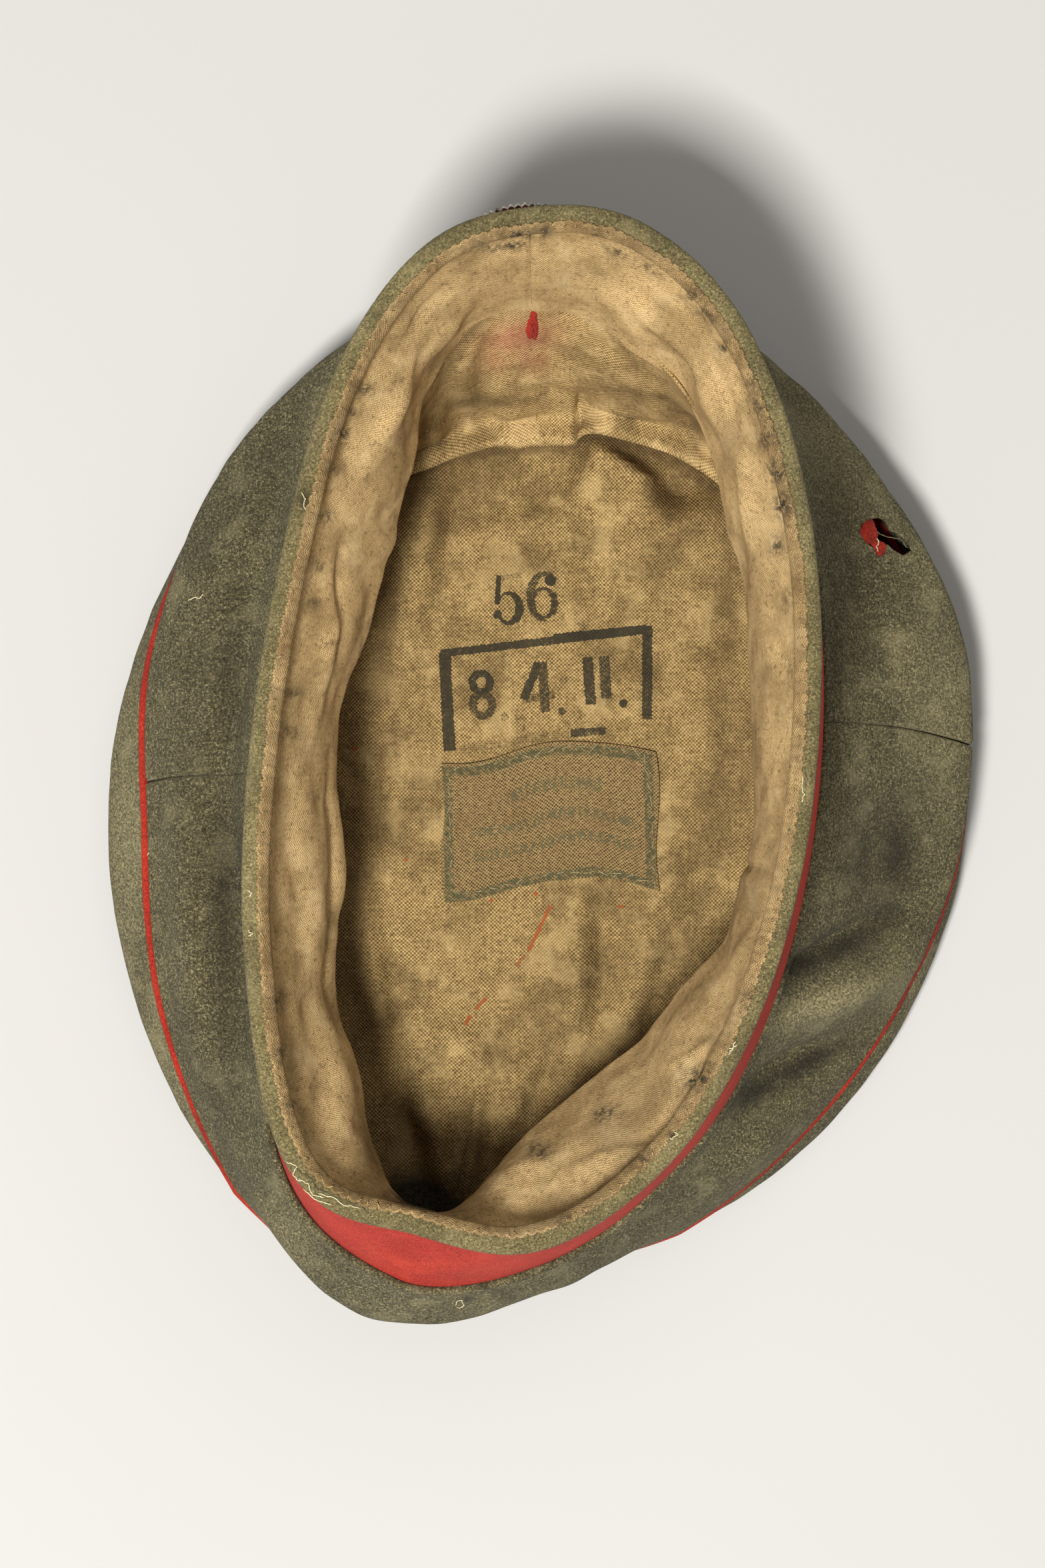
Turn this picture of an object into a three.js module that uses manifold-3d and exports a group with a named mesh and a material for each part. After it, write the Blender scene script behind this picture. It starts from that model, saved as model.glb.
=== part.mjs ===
// Soft round field cap of fulled wool, without a peak, lying on its crown with the mouth up.
// Millimetres, +Z up, +Y to the cap's front. The origin is the middle of the crown's flat
// resting face.
import * as THREE from "three";
import { mergeVertices } from "three/addons/utils/BufferGeometryUtils.js";
import Module from "manifold-3d";

// Driving sizes
const mouthHalfWidth = 62.5;
const mouthHalfLength = 113.5;
const mouthCentre = new THREE.Vector2(-2.4, 21.3);
const crownHalfWidth = 101;
const crownHalfLength = 114;
const capHeight = 84;
const bandHeight = 38;
const bandFlare = 15;          // the most that the band leans out from the mouth
const woolThickness = 2;
const liningThickness = 1;
const clearance = 0.3;         // between neighbouring pieces
const rimWidth = 5;            // the turned edge, seen from above
const rimThickness = 3.2;
const bandInset = 1.4;         // from the rim's outer edge in to the middle of the band
const liningInset = 4;         // from the rim's outer edge in to the middle of the lining
const pipingDiameter = 2.2;
const rollInset = 8;           // how far the crown's cloth shows beyond the piping
const rollHeight = 20;         // highest place of the piping
const panelSwell = 3;          // how far the side panel swells out between its seams
const contactInset = 10;       // from the crown's widest edge in to where it rests
const skirtDrop = 38;          // height of the lining band
const liningSag = 2;           // how far the lining band swells into the mouth
const pucker = 5;              // highest fold of the crown lining
const foldDepth = 6;           // deepest fold of the side panels
const labelWidth = 50;
const labelLength = 32;
const labelThickness = 1;
const labelCentre = new THREE.Vector2(2.5, -0.2);
const labelTilt = 1.5;         // degrees
const cockadeDiameter = 25;
const cockadeThickness = 1.2;
const cockadeDome = 3;
const cockadeTeeth = 48;
const cockadeToothDepth = 0.9;
const cockadeDrop = 17.3;      // its middle below the rim
const cockadeTip = 3.2;        // degrees that its top stands off the band
const cockadeTurn = 0.255;
const mothHoleWidth = 9;
const mothHoleLength = 6.5;
const mothHoleTurn = 0.104;
const seamRightTurn = 0.031;   // seams of the side panels, as shares of a full turn
const seamLeftTurn = 0.484;
const stations = 64;           // sections round every ring

// Round the mouth, a row for every 22.5 degrees from the cap's right through its front.
// mouth and skirt are shares of the mouth's half sizes, rim of the cap's height,
// and flare of bandFlare.
const mouthTable = [
  { mouth: 1.000, rim: 0.97, flare: 0.23, skirt: 0.805 },
  { mouth: 1.051, rim: 0.97, flare: 0.14, skirt: 0.807 },
  { mouth: 1.072, rim: 0.98, flare: 0.12, skirt: 0.848 },
  { mouth: 1.037, rim: 0.99, flare: -0.30, skirt: 0.834 },
  { mouth: 0.992, rim: 1.00, flare: -0.85, skirt: 0.825 },
  { mouth: 0.987, rim: 1.00, flare: -0.75, skirt: 0.789 },
  { mouth: 0.955, rim: 1.00, flare: -0.50, skirt: 0.656 },
  { mouth: 0.919, rim: 1.00, flare: -0.35, skirt: 0.628 },
  { mouth: 0.958, rim: 0.99, flare: -0.30, skirt: 0.692 },
  { mouth: 1.068, rim: 0.98, flare: -0.20, skirt: 0.805 },
  { mouth: 1.180, rim: 0.95, flare: 0.27, skirt: 0.918 },
  { mouth: 1.039, rim: 0.94, flare: 1.00, skirt: 1.035 },
  { mouth: 0.993, rim: 0.95, flare: 0.50, skirt: 0.792 },
  { mouth: 0.958, rim: 0.96, flare: 0.34, skirt: 0.723 },
  { mouth: 0.956, rim: 0.97, flare: 0.33, skirt: 0.753 },
  { mouth: 0.970, rim: 0.97, flare: 0.28, skirt: 0.820 },
];

// Round the crown, in the same order. outline and seam are shares of the crown's half sizes,
// roll of rollInset, with less than none where the panel hangs over the piping,
// lift of rollHeight, and pocket of the way from the skirt out to the side panel.
const crownTable = [
  { outline: 0.976, roll: 0.10, lift: 0.62, seam: 0.84, pocket: 0.9 },
  { outline: 1.011, roll: 0.10, lift: 0.62, seam: 0.84, pocket: 0.8 },
  { outline: 1.007, roll: 0.20, lift: 0.62, seam: 0.82, pocket: 0.5 },
  { outline: 1.012, roll: 0.30, lift: 0.65, seam: 0.80, pocket: 0.2 },
  { outline: 1.001, roll: 0.30, lift: 0.66, seam: 0.80, pocket: 0.0 },
  { outline: 1.011, roll: 0.20, lift: 0.68, seam: 0.80, pocket: 0.2 },
  { outline: 1.001, roll: 0.12, lift: 0.74, seam: 0.81, pocket: 0.5 },
  { outline: 0.984, roll: 0.32, lift: 0.86, seam: 0.82, pocket: 0.8 },
  { outline: 0.985, roll: 1.05, lift: 1.00, seam: 0.82, pocket: 0.9 },
  { outline: 0.988, roll: 0.62, lift: 0.90, seam: 0.83, pocket: 0.8 },
  { outline: 1.012, roll: 0.05, lift: 0.65, seam: 0.85, pocket: 0.6 },
  { outline: 1.062, roll: -0.60, lift: 0.45, seam: 0.88, pocket: 0.5 },
  { outline: 0.924, roll: -0.30, lift: 0.45, seam: 0.79, pocket: 0.5 },
  { outline: 0.884, roll: 0.02, lift: 0.50, seam: 0.76, pocket: 0.6 },
  { outline: 0.894, roll: 0.34, lift: 0.55, seam: 0.76, pocket: 0.7 },
  { outline: 0.928, roll: 0.34, lift: 0.60, seam: 0.79, pocket: 0.8 },
];

// Folds of the side panels: turn and spread are shares of a full turn, rise of foldDepth,
// and level of the way from the waist to the piping.
const panelFolds = [
  { turn: 0.060, spread: 0.020, rise: 0.35, level: 0.5 },
  { turn: 0.400, spread: 0.022, rise: -0.30, level: 0.4 },
  { turn: 0.540, spread: 0.025, rise: 0.30, level: 0.5 },
  { turn: 0.660, spread: 0.018, rise: 0.60, level: 0.3 },
  { turn: 0.890, spread: 0.016, rise: -0.90, level: 0.4 },
  { turn: 0.918, spread: 0.012, rise: 0.55, level: 0.4 },
  { turn: 0.942, spread: 0.014, rise: -0.85, level: 0.4 },
];

// Puckers of the crown lining: x and y are shares of the crown's half sizes, wide and long
// how far each spreads, and rise its share of the highest pucker.
const liningPuckers = [
  { x: 0.30, y: 0.62, wide: 0.16, long: 0.10, rise: 1.0 },
  { x: -0.34, y: 0.52, wide: 0.10, long: 0.20, rise: 0.8 },
  { x: -0.44, y: -0.10, wide: 0.10, long: 0.34, rise: 0.6 },
  { x: 0.10, y: -0.38, wide: 0.07, long: 0.16, rise: 0.5 },
  { x: 0.52, y: -0.12, wide: 0.12, long: 0.22, rise: 0.7 },
  { x: -0.20, y: -0.58, wide: 0.12, long: 0.16, rise: 0.8 },
];

const fullTurn = 2 * Math.PI;
const up = new THREE.Vector3(0, 0, 1);

const wool = { color: 0x6f6948, roughness: 0.95, metalness: 0 };
const redWool = { color: 0xa83a2c, roughness: 0.95, metalness: 0 };
const drill = { color: 0xb8965f, roughness: 0.9, metalness: 0 };
const canvas = { color: 0x9c8052, roughness: 0.95, metalness: 0 };
const metal = { color: 0x8d8d88, roughness: 0.4, metalness: 0.9 };

// A column of a table at any turn, by a smooth closed curve through its rows.
function share(table, name, turn) {
  const count = table.length;
  const place = (turn - Math.floor(turn)) * count;
  const row = Math.floor(place);
  const part = place - row;
  const [a, b, c, d] = [-1, 0, 1, 2].map((step) => table[(row + step + count) % count][name]);
  const cubic = 3 * (b - c) + d - a;
  return b + 0.5 * part * (c - a + part * (2 * a - 5 * b + 4 * c - d + part * cubic));
}

// The nearest way round from one turn to another, from minus to plus a half.
function turnBetween(turn, other) {
  const apart = turn - other;
  return apart - Math.round(apart);
}

const bell = (offset) => Math.exp(-offset * offset);

function onEllipse(centre, halfWidth, halfLength, turn, reach) {
  const angle = fullTurn * turn;
  const x = centre.x + halfWidth * reach * Math.cos(angle);
  const y = centre.y + halfLength * reach * Math.sin(angle);
  return new THREE.Vector3(x, y, 0);
}

// The level direction that points out of a ring at a turn.
function outward(ring, turn) {
  const step = 1 / (2 * stations);
  const along = ring(turn + step).sub(ring(turn - step));
  return along.cross(up).setZ(0).normalize();
}

// The mouth lies forward of the crown and is narrower, so its turn is shifted to keep the
// sections square to both rings.
const mouthShift = Math.asin(mouthCentre.y / mouthHalfLength) / fullTurn;
const mouthSqueeze = 0.8 * (1 / 8 - Math.atan(mouthHalfWidth / mouthHalfLength) / fullTurn);

function mouthTurn(turn) {
  const angle = fullTurn * turn;
  return turn - mouthShift * Math.cos(angle) - mouthSqueeze * Math.sin(2 * angle);
}

function mouthRing(turn) {
  const around = mouthTurn(turn);
  const reach = share(mouthTable, "mouth", around);
  const point = onEllipse(mouthCentre, mouthHalfWidth, mouthHalfLength, around, reach);
  return point.setZ(capHeight * share(mouthTable, "rim", around));
}

// A point beside the rim's outer top edge: so far out, and so far up.
function besideRim(turn, out, rise) {
  const point = mouthRing(turn).addScaledVector(outward(mouthRing, turn), out);
  return point.addScaledVector(up, rise);
}

function waist(turn) {
  const lean = bandFlare * share(mouthTable, "flare", mouthTurn(turn));
  const drop = Math.sqrt(bandHeight * bandHeight - lean * lean);
  return besideRim(turn, lean - bandInset, -drop);
}

function skirtRing(turn) {
  const around = mouthTurn(turn);
  const reach = share(mouthTable, "skirt", around);
  const point = onEllipse(mouthCentre, mouthHalfWidth, mouthHalfLength, around, reach);
  return point.setZ(mouthRing(turn).z - skirtDrop);
}

const middle = new THREE.Vector2(0, 0);

function crownRing(turn) {
  const reach = share(crownTable, "outline", turn);
  return onEllipse(middle, crownHalfWidth, crownHalfLength, turn, reach);
}

// From the piping's middle line to the walls on either side of it.
const pipingReach = pipingDiameter / 2 / Math.cos(Math.PI / 8) + clearance;

// The middle line of the piping, in from the widest edge.
function pipingLine(turn) {
  const roll = share(crownTable, "roll", turn);
  const inset = pipingDiameter / 2 + rollInset * Math.abs(roll);
  const point = crownRing(turn).addScaledVector(outward(crownRing, turn), -inset);
  return point.setZ(rollHeight * share(crownTable, "lift", turn));
}

// Where the side panel bulges out between the waist and the piping.
function panelBulge(turn) {
  const roll = share(crownTable, "roll", turn);
  const piping = pipingLine(turn);
  const top = waist(turn);
  const point = piping.clone().lerp(top, 0.5);
  const out = outward(crownRing, turn);
  const overhang = panelSwell + rollInset * Math.max(0, -roll);
  return point.addScaledVector(out, overhang);
}

// The crown's widest edge, under or beyond the piping.
function discEdge(turn) {
  const roll = share(crownTable, "roll", turn);
  const piping = pipingLine(turn);
  const out = rollInset * Math.max(roll, 0) - woolThickness / 2;
  return piping.addScaledVector(outward(crownRing, turn), out).setZ(0.45 * piping.z);
}

function contactRing(turn) {
  const point = discEdge(turn).addScaledVector(outward(crownRing, turn), -contactInset);
  return point.setZ(woolThickness / 2);
}

// How far the walls that hang from the rim start below its top.
const underRim = rimThickness + clearance + woolThickness / 2 * bandFlare / bandHeight;

// How far in from a seam's corner two walls end, to stay the clearance apart.
function seamInset(corner, one, other, thickness) {
  const angle = one.clone().sub(corner).angleTo(other.clone().sub(corner));
  return thickness / 2 / Math.tan(angle / 2) + clearance / 2;
}

const towards = (from, to, distance) =>
  from.clone().addScaledVector(to.clone().sub(from).normalize(), distance);

function curvePoints(controls, count) {
  const curve = new THREE.CatmullRomCurve3(controls, false, "centripetal");
  return curve.getSpacedPoints(count);
}

const turnsRound = Array.from({ length: stations }, (_, k) => k / stations);

// A wall of even thickness about rows of points. A ring closes on itself, and with a hub
// the rows' inner ends meet in the middle.
function clothWall(rows, thickness, ring, hub) {
  const last = rows.length - 1;
  const width = rows[0].length;
  const wrapped = (i) => (i + rows.length) % rows.length;
  const held = (i) => Math.min(Math.max(i, 0), last);
  const rowNear = (i) => rows[ring ? wrapped(i) : held(i)];
  const faces = [[], []];
  rows.forEach((row, i) => row.forEach((point, j) => {
    const around = rowNear(i + 1)[j].clone().sub(rowNear(i - 1)[j]);
    const along = row[Math.min(j + 1, width - 1)].clone().sub(row[Math.max(j - 1, 0)]);
    const normal = around.cross(along).normalize();
    faces[0].push(point.clone().addScaledVector(normal, -thickness / 2));
    faces[1].push(point.clone().addScaledVector(normal, thickness / 2));
  }));
  const points = [...faces[0], ...faces[1]];
  const at = (side, i, j) => side * rows.length * width + (i % rows.length) * width + j;
  const index = [];
  const quad = (a, b, c, d) => index.push(a, b, c, a, c, d);
  const spans = ring ? rows.length : last;
  for (let i = 0; i < spans; i += 1) {
    for (let j = 0; j < width - 1; j += 1) {
      quad(at(0, i, j), at(0, i, j + 1), at(0, i + 1, j + 1), at(0, i + 1, j));
      quad(at(1, i, j), at(1, i + 1, j), at(1, i + 1, j + 1), at(1, i, j + 1));
    }
    quad(at(0, i, 0), at(0, i + 1, 0), at(1, i + 1, 0), at(1, i, 0));
    if (!hub) {
      const j = width - 1;
      quad(at(0, i, j), at(1, i, j), at(1, i + 1, j), at(0, i + 1, j));
    }
  }
  if (!ring) {
    for (let j = 0; j < width - 1; j += 1) {
      quad(at(0, 0, j), at(1, 0, j), at(1, 0, j + 1), at(0, 0, j + 1));
      quad(at(0, last, j), at(0, last, j + 1), at(1, last, j + 1), at(1, last, j));
    }
  }
  if (hub) {
    for (const side of [0, 1]) {
      const hubPoint = new THREE.Vector3();
      for (let i = 0; i < rows.length; i += 1) {
        hubPoint.add(points[at(side, i, width - 1)]);
      }
      points.push(hubPoint.divideScalar(rows.length));
      const centre = points.length - 1;
      for (let i = 0; i < rows.length; i += 1) {
        const [near, far] = [at(side, i, width - 1), at(side, i + 1, width - 1)];
        index.push(centre, side ? near : far, side ? far : near);
      }
    }
  }
  const geometry = new THREE.BufferGeometry().setFromPoints(points);
  geometry.setIndex(index);
  return geometry;
}

const cap = new THREE.Group();

function addPiece(name, geometry, finish) {
  const mesh = new THREE.Mesh(geometry, new THREE.MeshStandardMaterial(finish));
  mesh.name = name;
  cap.add(mesh);
  return mesh;
}

// A closed ring swept with a level-sided section of eight corners about a middle line.
function sweptRing(middleLine, halfWidth, halfThickness) {
  const corner = Math.tan(Math.PI / 8);
  const section = [
    [1, corner], [corner, 1], [-corner, 1], [-1, corner],
    [-1, -corner], [-corner, -1], [corner, -1], [1, -corner],
  ];
  const points = [];
  const index = [];
  turnsRound.forEach((turn, i) => {
    const centre = middleLine(turn);
    const out = outward(middleLine, turn);
    section.forEach(([u, v], j) => {
      const point = centre.clone().addScaledVector(out, u * halfWidth);
      points.push(point.addScaledVector(up, v * halfThickness));
      const [a, b] = [i * 8 + j, i * 8 + (j + 1) % 8];
      const [c, d] = [((i + 1) % stations) * 8 + (j + 1) % 8, ((i + 1) % stations) * 8 + j];
      index.push(a, c, b, a, d, c);
    });
  });
  const geometry = new THREE.BufferGeometry().setFromPoints(points);
  geometry.setIndex(index);
  return geometry;
}

function rimSection(turn) {
  return besideRim(turn, -rimWidth / 2, -rimThickness / 2);
}

function bandSection(turn) {
  const top = besideRim(turn, -bandInset, -underRim);
  const low = waist(turn);
  const inset = seamInset(low, top, panelBulge(turn), woolThickness);
  return curvePoints([top, top.clone().lerp(low, 0.5), towards(low, top, inset)], 3);
}

// How far the folds push a side panel out at a turn and a level.
function foldPush(turn, level) {
  const pushes = panelFolds.map((fold) => {
    const away = turnBetween(turn, fold.turn) / fold.spread;
    return fold.rise * bell(away) * bell((level - fold.level) / 0.35);
  });
  return foldDepth * pushes.reduce((sum, push) => sum + push, 0);
}

function panelSection(turn) {
  const top = waist(turn);
  const bulge = panelBulge(turn);
  const piping = pipingLine(turn);
  const bandTop = besideRim(turn, -bandInset, -underRim);
  const inset = seamInset(top, bandTop, bulge, woolThickness);
  const foot = towards(piping, bulge, pipingReach);
  const ankle = towards(piping, bulge, 3 * pipingReach);
  const points = curvePoints([towards(top, bulge, inset), bulge, ankle, foot], 6);
  const out = outward(crownRing, turn);
  const count = points.length - 1;
  return points.map((point, j) => {
    const hold = Math.sin(Math.PI * j / count);
    return point.addScaledVector(out, hold * foldPush(turn, j / count));
  });
}

function discSection(turn) {
  const piping = pipingLine(turn);
  const edge = discEdge(turn);
  const contact = contactRing(turn);
  const start = towards(piping, edge, pipingReach);
  const points = curvePoints([start, edge, contact], 5);
  points.forEach((point) => point.setZ(Math.max(point.z, woolThickness / 2)));
  const flats = [0.6, 0.2].map((part) => {
    return new THREE.Vector3(contact.x * part, contact.y * part, contact.z);
  });
  return [...points, ...flats];
}

// Height of the crown lining's middle surface above the floor.
function liningHeight(x, y) {
  const base = woolThickness + clearance + liningThickness / 2;
  const rises = liningPuckers.map((row) => {
    const across = (x / crownHalfWidth - row.x) / row.wide;
    const along = (y / crownHalfLength - row.y) / row.long;
    return row.rise * bell(Math.hypot(across, along));
  });
  return base + pucker * Math.min(1, rises.reduce((sum, rise) => sum + rise, 0));
}

function liningSeam(turn) {
  const reach = share(crownTable, "seam", turn);
  const point = onEllipse(middle, crownHalfWidth, crownHalfLength, turn, reach);
  return point.setZ(liningHeight(point.x, point.y));
}

function liningBandSection(turn) {
  const top = besideRim(turn, -liningInset, -underRim);
  const low = skirtRing(turn);
  const swell = top.clone().lerp(low, 0.5).addScaledVector(outward(skirtRing, turn), -liningSag);
  return curvePoints([top, swell, low], 3);
}

function liningSideSection(turn) {
  const behind = liningThickness + 2 * clearance;
  const top = skirtRing(turn).addScaledVector(outward(skirtRing, turn), behind);
  const seam = liningSeam(turn);
  const plain = top.clone().lerp(seam, 0.5);
  const inside = panelBulge(turn).lerp(pipingLine(turn), 0.4);
  inside.addScaledVector(outward(crownRing, turn), -woolThickness - foldDepth);
  const pocket = plain.lerp(inside, share(crownTable, "pocket", turn));
  const inset = liningThickness / 2 + clearance;
  return curvePoints([top, pocket, towards(seam, pocket, inset)], 5);
}

function liningCrownSection(turn) {
  const seam = liningSeam(turn);
  return [0.985, 0.82, 0.64, 0.46, 0.28, 0.1].map((part) => {
    const [x, y] = [seam.x * part, seam.y * part];
    return new THREE.Vector3(x, y, liningHeight(x, y));
  });
}

const wasm = await Module();
wasm.setup();

function toSolid(geometry) {
  const plain = geometry.clone();
  plain.deleteAttribute("normal");
  plain.deleteAttribute("uv");
  const merged = mergeVertices(plain, 1e-4);
  const vertProperties = new Float32Array(merged.attributes.position.array);
  const triVerts = new Uint32Array(merged.index.array);
  return new wasm.Manifold(new wasm.Mesh({ numProp: 3, vertProperties, triVerts }));
}

function toGeometry(solid) {
  const mesh = solid.getMesh();
  const geometry = new THREE.BufferGeometry();
  geometry.setAttribute("position", new THREE.Float32BufferAttribute(mesh.vertProperties, 3));
  geometry.setIndex(new THREE.Uint32BufferAttribute(mesh.triVerts, 1));
  return geometry;
}

// A side panel from one seam to the other, each end half the clearance short of its seam.
function sidePanel(fromTurn, toTurn) {
  const spare = clearance / 2 / (fullTurn * crownHalfWidth);
  const between = [...turnsRound, ...turnsRound.map((turn) => turn + 1)];
  const inner = between.filter((turn) => turn > fromTurn + 2 * spare && turn < toTurn - 2 * spare);
  const rows = [fromTurn + spare, ...inner, toTurn - spare].map(panelSection);
  return clothWall(rows, woolThickness, false, false);
}

// A ragged plug that cuts the moth hole straight through the panel.
function mothPlug() {
  const edge = [1, 0.8, 1.05, 0.85, 1, 0.75, 1.1, 0.9];
  const outline = edge.map((reach, k) => {
    const angle = fullTurn * k / edge.length;
    const x = mothHoleWidth / 2 * reach * Math.cos(angle);
    return new THREE.Vector2(x, mothHoleLength / 2 * reach * Math.sin(angle));
  });
  const depth = 8 * woolThickness;
  const shape = new THREE.Shape(outline);
  const geometry = new THREE.ExtrudeGeometry(shape, { depth, bevelEnabled: false });
  geometry.translate(0, 0, -depth / 2);
  const points = panelSection(mothHoleTurn);
  const centre = points[4];
  const around = panelSection(mothHoleTurn + 0.01)[4].sub(panelSection(mothHoleTurn - 0.01)[4]);
  const along = points[5].clone().sub(points[3]);
  const normal = around.clone().cross(along).normalize();
  const side = around.normalize();
  const basis = new THREE.Matrix4().makeBasis(side, normal.clone().cross(side), normal);
  geometry.applyMatrix4(basis.setPosition(centre));
  return geometry;
}

function labelRows() {
  const lift = (liningThickness + labelThickness) / 2 + 2 * clearance;
  const rows = [];
  for (let i = 0; i <= 6; i += 1) {
    const row = [];
    for (let j = 0; j <= 4; j += 1) {
      const flat = new THREE.Vector2(labelWidth * (i / 6 - 0.5), labelLength * (0.5 - j / 4));
      flat.rotateAround(middle, THREE.MathUtils.degToRad(labelTilt)).add(labelCentre);
      row.push(new THREE.Vector3(flat.x, flat.y, liningHeight(flat.x, flat.y) + lift));
    }
    rows.push(row);
  }
  return rows;
}

function cockadeSolid() {
  const radius = cockadeDiameter / 2;
  const outline = Array.from({ length: 2 * cockadeTeeth }, (_, k) => {
    const reach = radius - (k % 2) * cockadeToothDepth;
    const angle = fullTurn * k / (2 * cockadeTeeth);
    return new THREE.Vector2(reach * Math.cos(angle), reach * Math.sin(angle));
  });
  const plate = new THREE.ExtrudeGeometry(new THREE.Shape(outline), {
    depth: cockadeThickness, bevelEnabled: false,
  });
  const profile = [
    new THREE.Vector2(0, cockadeThickness / 2),
    new THREE.Vector2(radius * 0.82, cockadeThickness / 2),
    new THREE.Vector2(radius * 0.82, cockadeThickness * 1.3),
    new THREE.Vector2(radius * 0.4, cockadeDome * 0.8),
    new THREE.Vector2(0, cockadeDome),
  ];
  const dome = new THREE.LatheGeometry(profile, 24).rotateX(Math.PI / 2);
  return toGeometry(toSolid(plate).add(toSolid(dome)));
}

const ringRows = (sectionAt) => turnsRound.map(sectionAt);

addPiece("crown_disc", clothWall(ringRows(discSection), woolThickness, true, true), wool);
addPiece("crown_piping", sweptRing(pipingLine, pipingDiameter / 2, pipingDiameter / 2), redWool);
const frontPanel = toSolid(sidePanel(seamRightTurn, seamLeftTurn)).subtract(toSolid(mothPlug()));
addPiece("side_panel_front", toGeometry(frontPanel), wool);
addPiece("side_panel_back", sidePanel(seamLeftTurn, 1 + seamRightTurn), wool);
addPiece("band", clothWall(ringRows(bandSection), woolThickness, true, false), redWool);
addPiece("rim_edge", sweptRing(rimSection, rimWidth / 2, rimThickness / 2), wool);
addPiece("lining_band", clothWall(ringRows(liningBandSection), liningThickness, true, false), drill);
addPiece("lining_side", clothWall(ringRows(liningSideSection), liningThickness, true, false), canvas);
addPiece("lining_crown", clothWall(ringRows(liningCrownSection), liningThickness, true, true), canvas);
addPiece("label", clothWall(labelRows(), labelThickness, false, false), drill);

// The cockade sits on the band's front, its lower edge close to the cloth.
function placeCockade(mesh) {
  const out = outward(mouthRing, cockadeTurn);
  const points = bandSection(cockadeTurn);
  const climb = points[0].clone().sub(points[3]).normalize();
  const side = climb.clone().cross(out).normalize();
  const face = side.clone().cross(climb).normalize();
  const tip = THREE.MathUtils.degToRad(cockadeTip);
  const lean = climb.clone().applyAxisAngle(side, tip);
  const front = face.clone().applyAxisAngle(side, tip);
  const drop = cockadeDrop + cockadeDiameter / 2 - underRim;
  const foot = points[0].clone().addScaledVector(climb, -drop);
  foot.addScaledVector(face, woolThickness / 2 + 2 * clearance);
  const centre = foot.addScaledVector(lean, cockadeDiameter / 2);
  mesh.applyMatrix4(new THREE.Matrix4().makeBasis(side, lean, front).setPosition(centre));
}
placeCockade(addPiece("cockade", cockadeSolid(), metal));

export default cap;
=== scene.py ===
import itertools
import math

import bpy
import numpy as np
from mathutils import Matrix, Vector
from mathutils.bvhtree import BVHTree


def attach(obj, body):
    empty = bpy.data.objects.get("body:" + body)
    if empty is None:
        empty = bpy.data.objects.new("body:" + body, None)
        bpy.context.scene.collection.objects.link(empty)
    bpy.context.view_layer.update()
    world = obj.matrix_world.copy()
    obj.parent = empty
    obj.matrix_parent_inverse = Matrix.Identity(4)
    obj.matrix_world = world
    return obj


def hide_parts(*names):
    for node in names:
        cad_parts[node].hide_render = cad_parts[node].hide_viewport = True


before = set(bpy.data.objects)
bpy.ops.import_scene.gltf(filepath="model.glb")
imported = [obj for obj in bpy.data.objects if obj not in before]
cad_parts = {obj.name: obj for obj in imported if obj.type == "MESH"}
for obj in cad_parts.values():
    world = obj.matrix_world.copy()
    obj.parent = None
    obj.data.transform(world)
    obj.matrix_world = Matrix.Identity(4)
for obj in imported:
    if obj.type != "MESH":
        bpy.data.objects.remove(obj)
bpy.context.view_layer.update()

print("frame loaded,", len(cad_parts), "solids")

# Everything is worked out in millimetres, in the cap's own frame, and made in metres.
millimetre = 0.001
dice = np.random.default_rng(1915)

# The picture: its middle, its focal length in its own points, and where the camera stands.
picture = {"width": 1568, "height": 2352, "focal": 7103, "eye": (-4.0, 9.7, 1100.0)}


def pictureView():
    lens = bpy.data.cameras.new("pictureCamera")
    lens.sensor_width = 36
    lens.lens = 36 * picture["focal"] / picture["height"]
    lens.clip_start = 0.05
    camera = bpy.data.objects.new("pictureCamera", lens)
    camera.location = Vector(picture["eye"]) * millimetre
    bpy.context.scene.collection.objects.link(camera)
    bpy.context.scene.camera = camera


# Where points show in the picture, across and down.
def inPicture(points):
    eyeX, eyeY, eyeZ = picture["eye"]
    grow = picture["focal"] / (eyeZ - points[..., 2])
    across = picture["width"] / 2 + (points[..., 0] - eyeX) * grow
    down = picture["height"] / 2 - (points[..., 1] - eyeY) * grow
    return across, down


# The place at a given height that shows at a point of the picture.
def fromPicture(across, down, height):
    eyeX, eyeY, eyeZ = picture["eye"]
    shrink = (eyeZ - height) / picture["focal"]
    x = eyeX + (across - picture["width"] / 2) * shrink
    y = eyeY - (down - picture["height"] / 2) * shrink
    return np.array([x, y, height])


pictureView()

# The cap's shape, with the same named sizes and tables as its solids

sizes = {
    "mouthHalf": (62.5, 113.5), "mouthCentre": (-2.4, 21.3), "crownHalf": (101, 114),
    "height": 84, "bandHeight": 38, "bandFlare": 15, "wool": 2, "lining": 1,
    "clearance": 0.3, "rimWidth": 5, "rimThickness": 3.2, "bandInset": 1.4,
    "liningInset": 4, "piping": 2.2, "rollInset": 8, "rollHeight": 20, "panelSwell": 3,
    "contactInset": 10, "skirtDrop": 38, "liningSag": 2, "pucker": 5, "foldDepth": 6,
    "seamRight": 0.031, "seamLeft": 0.484,
}

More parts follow.
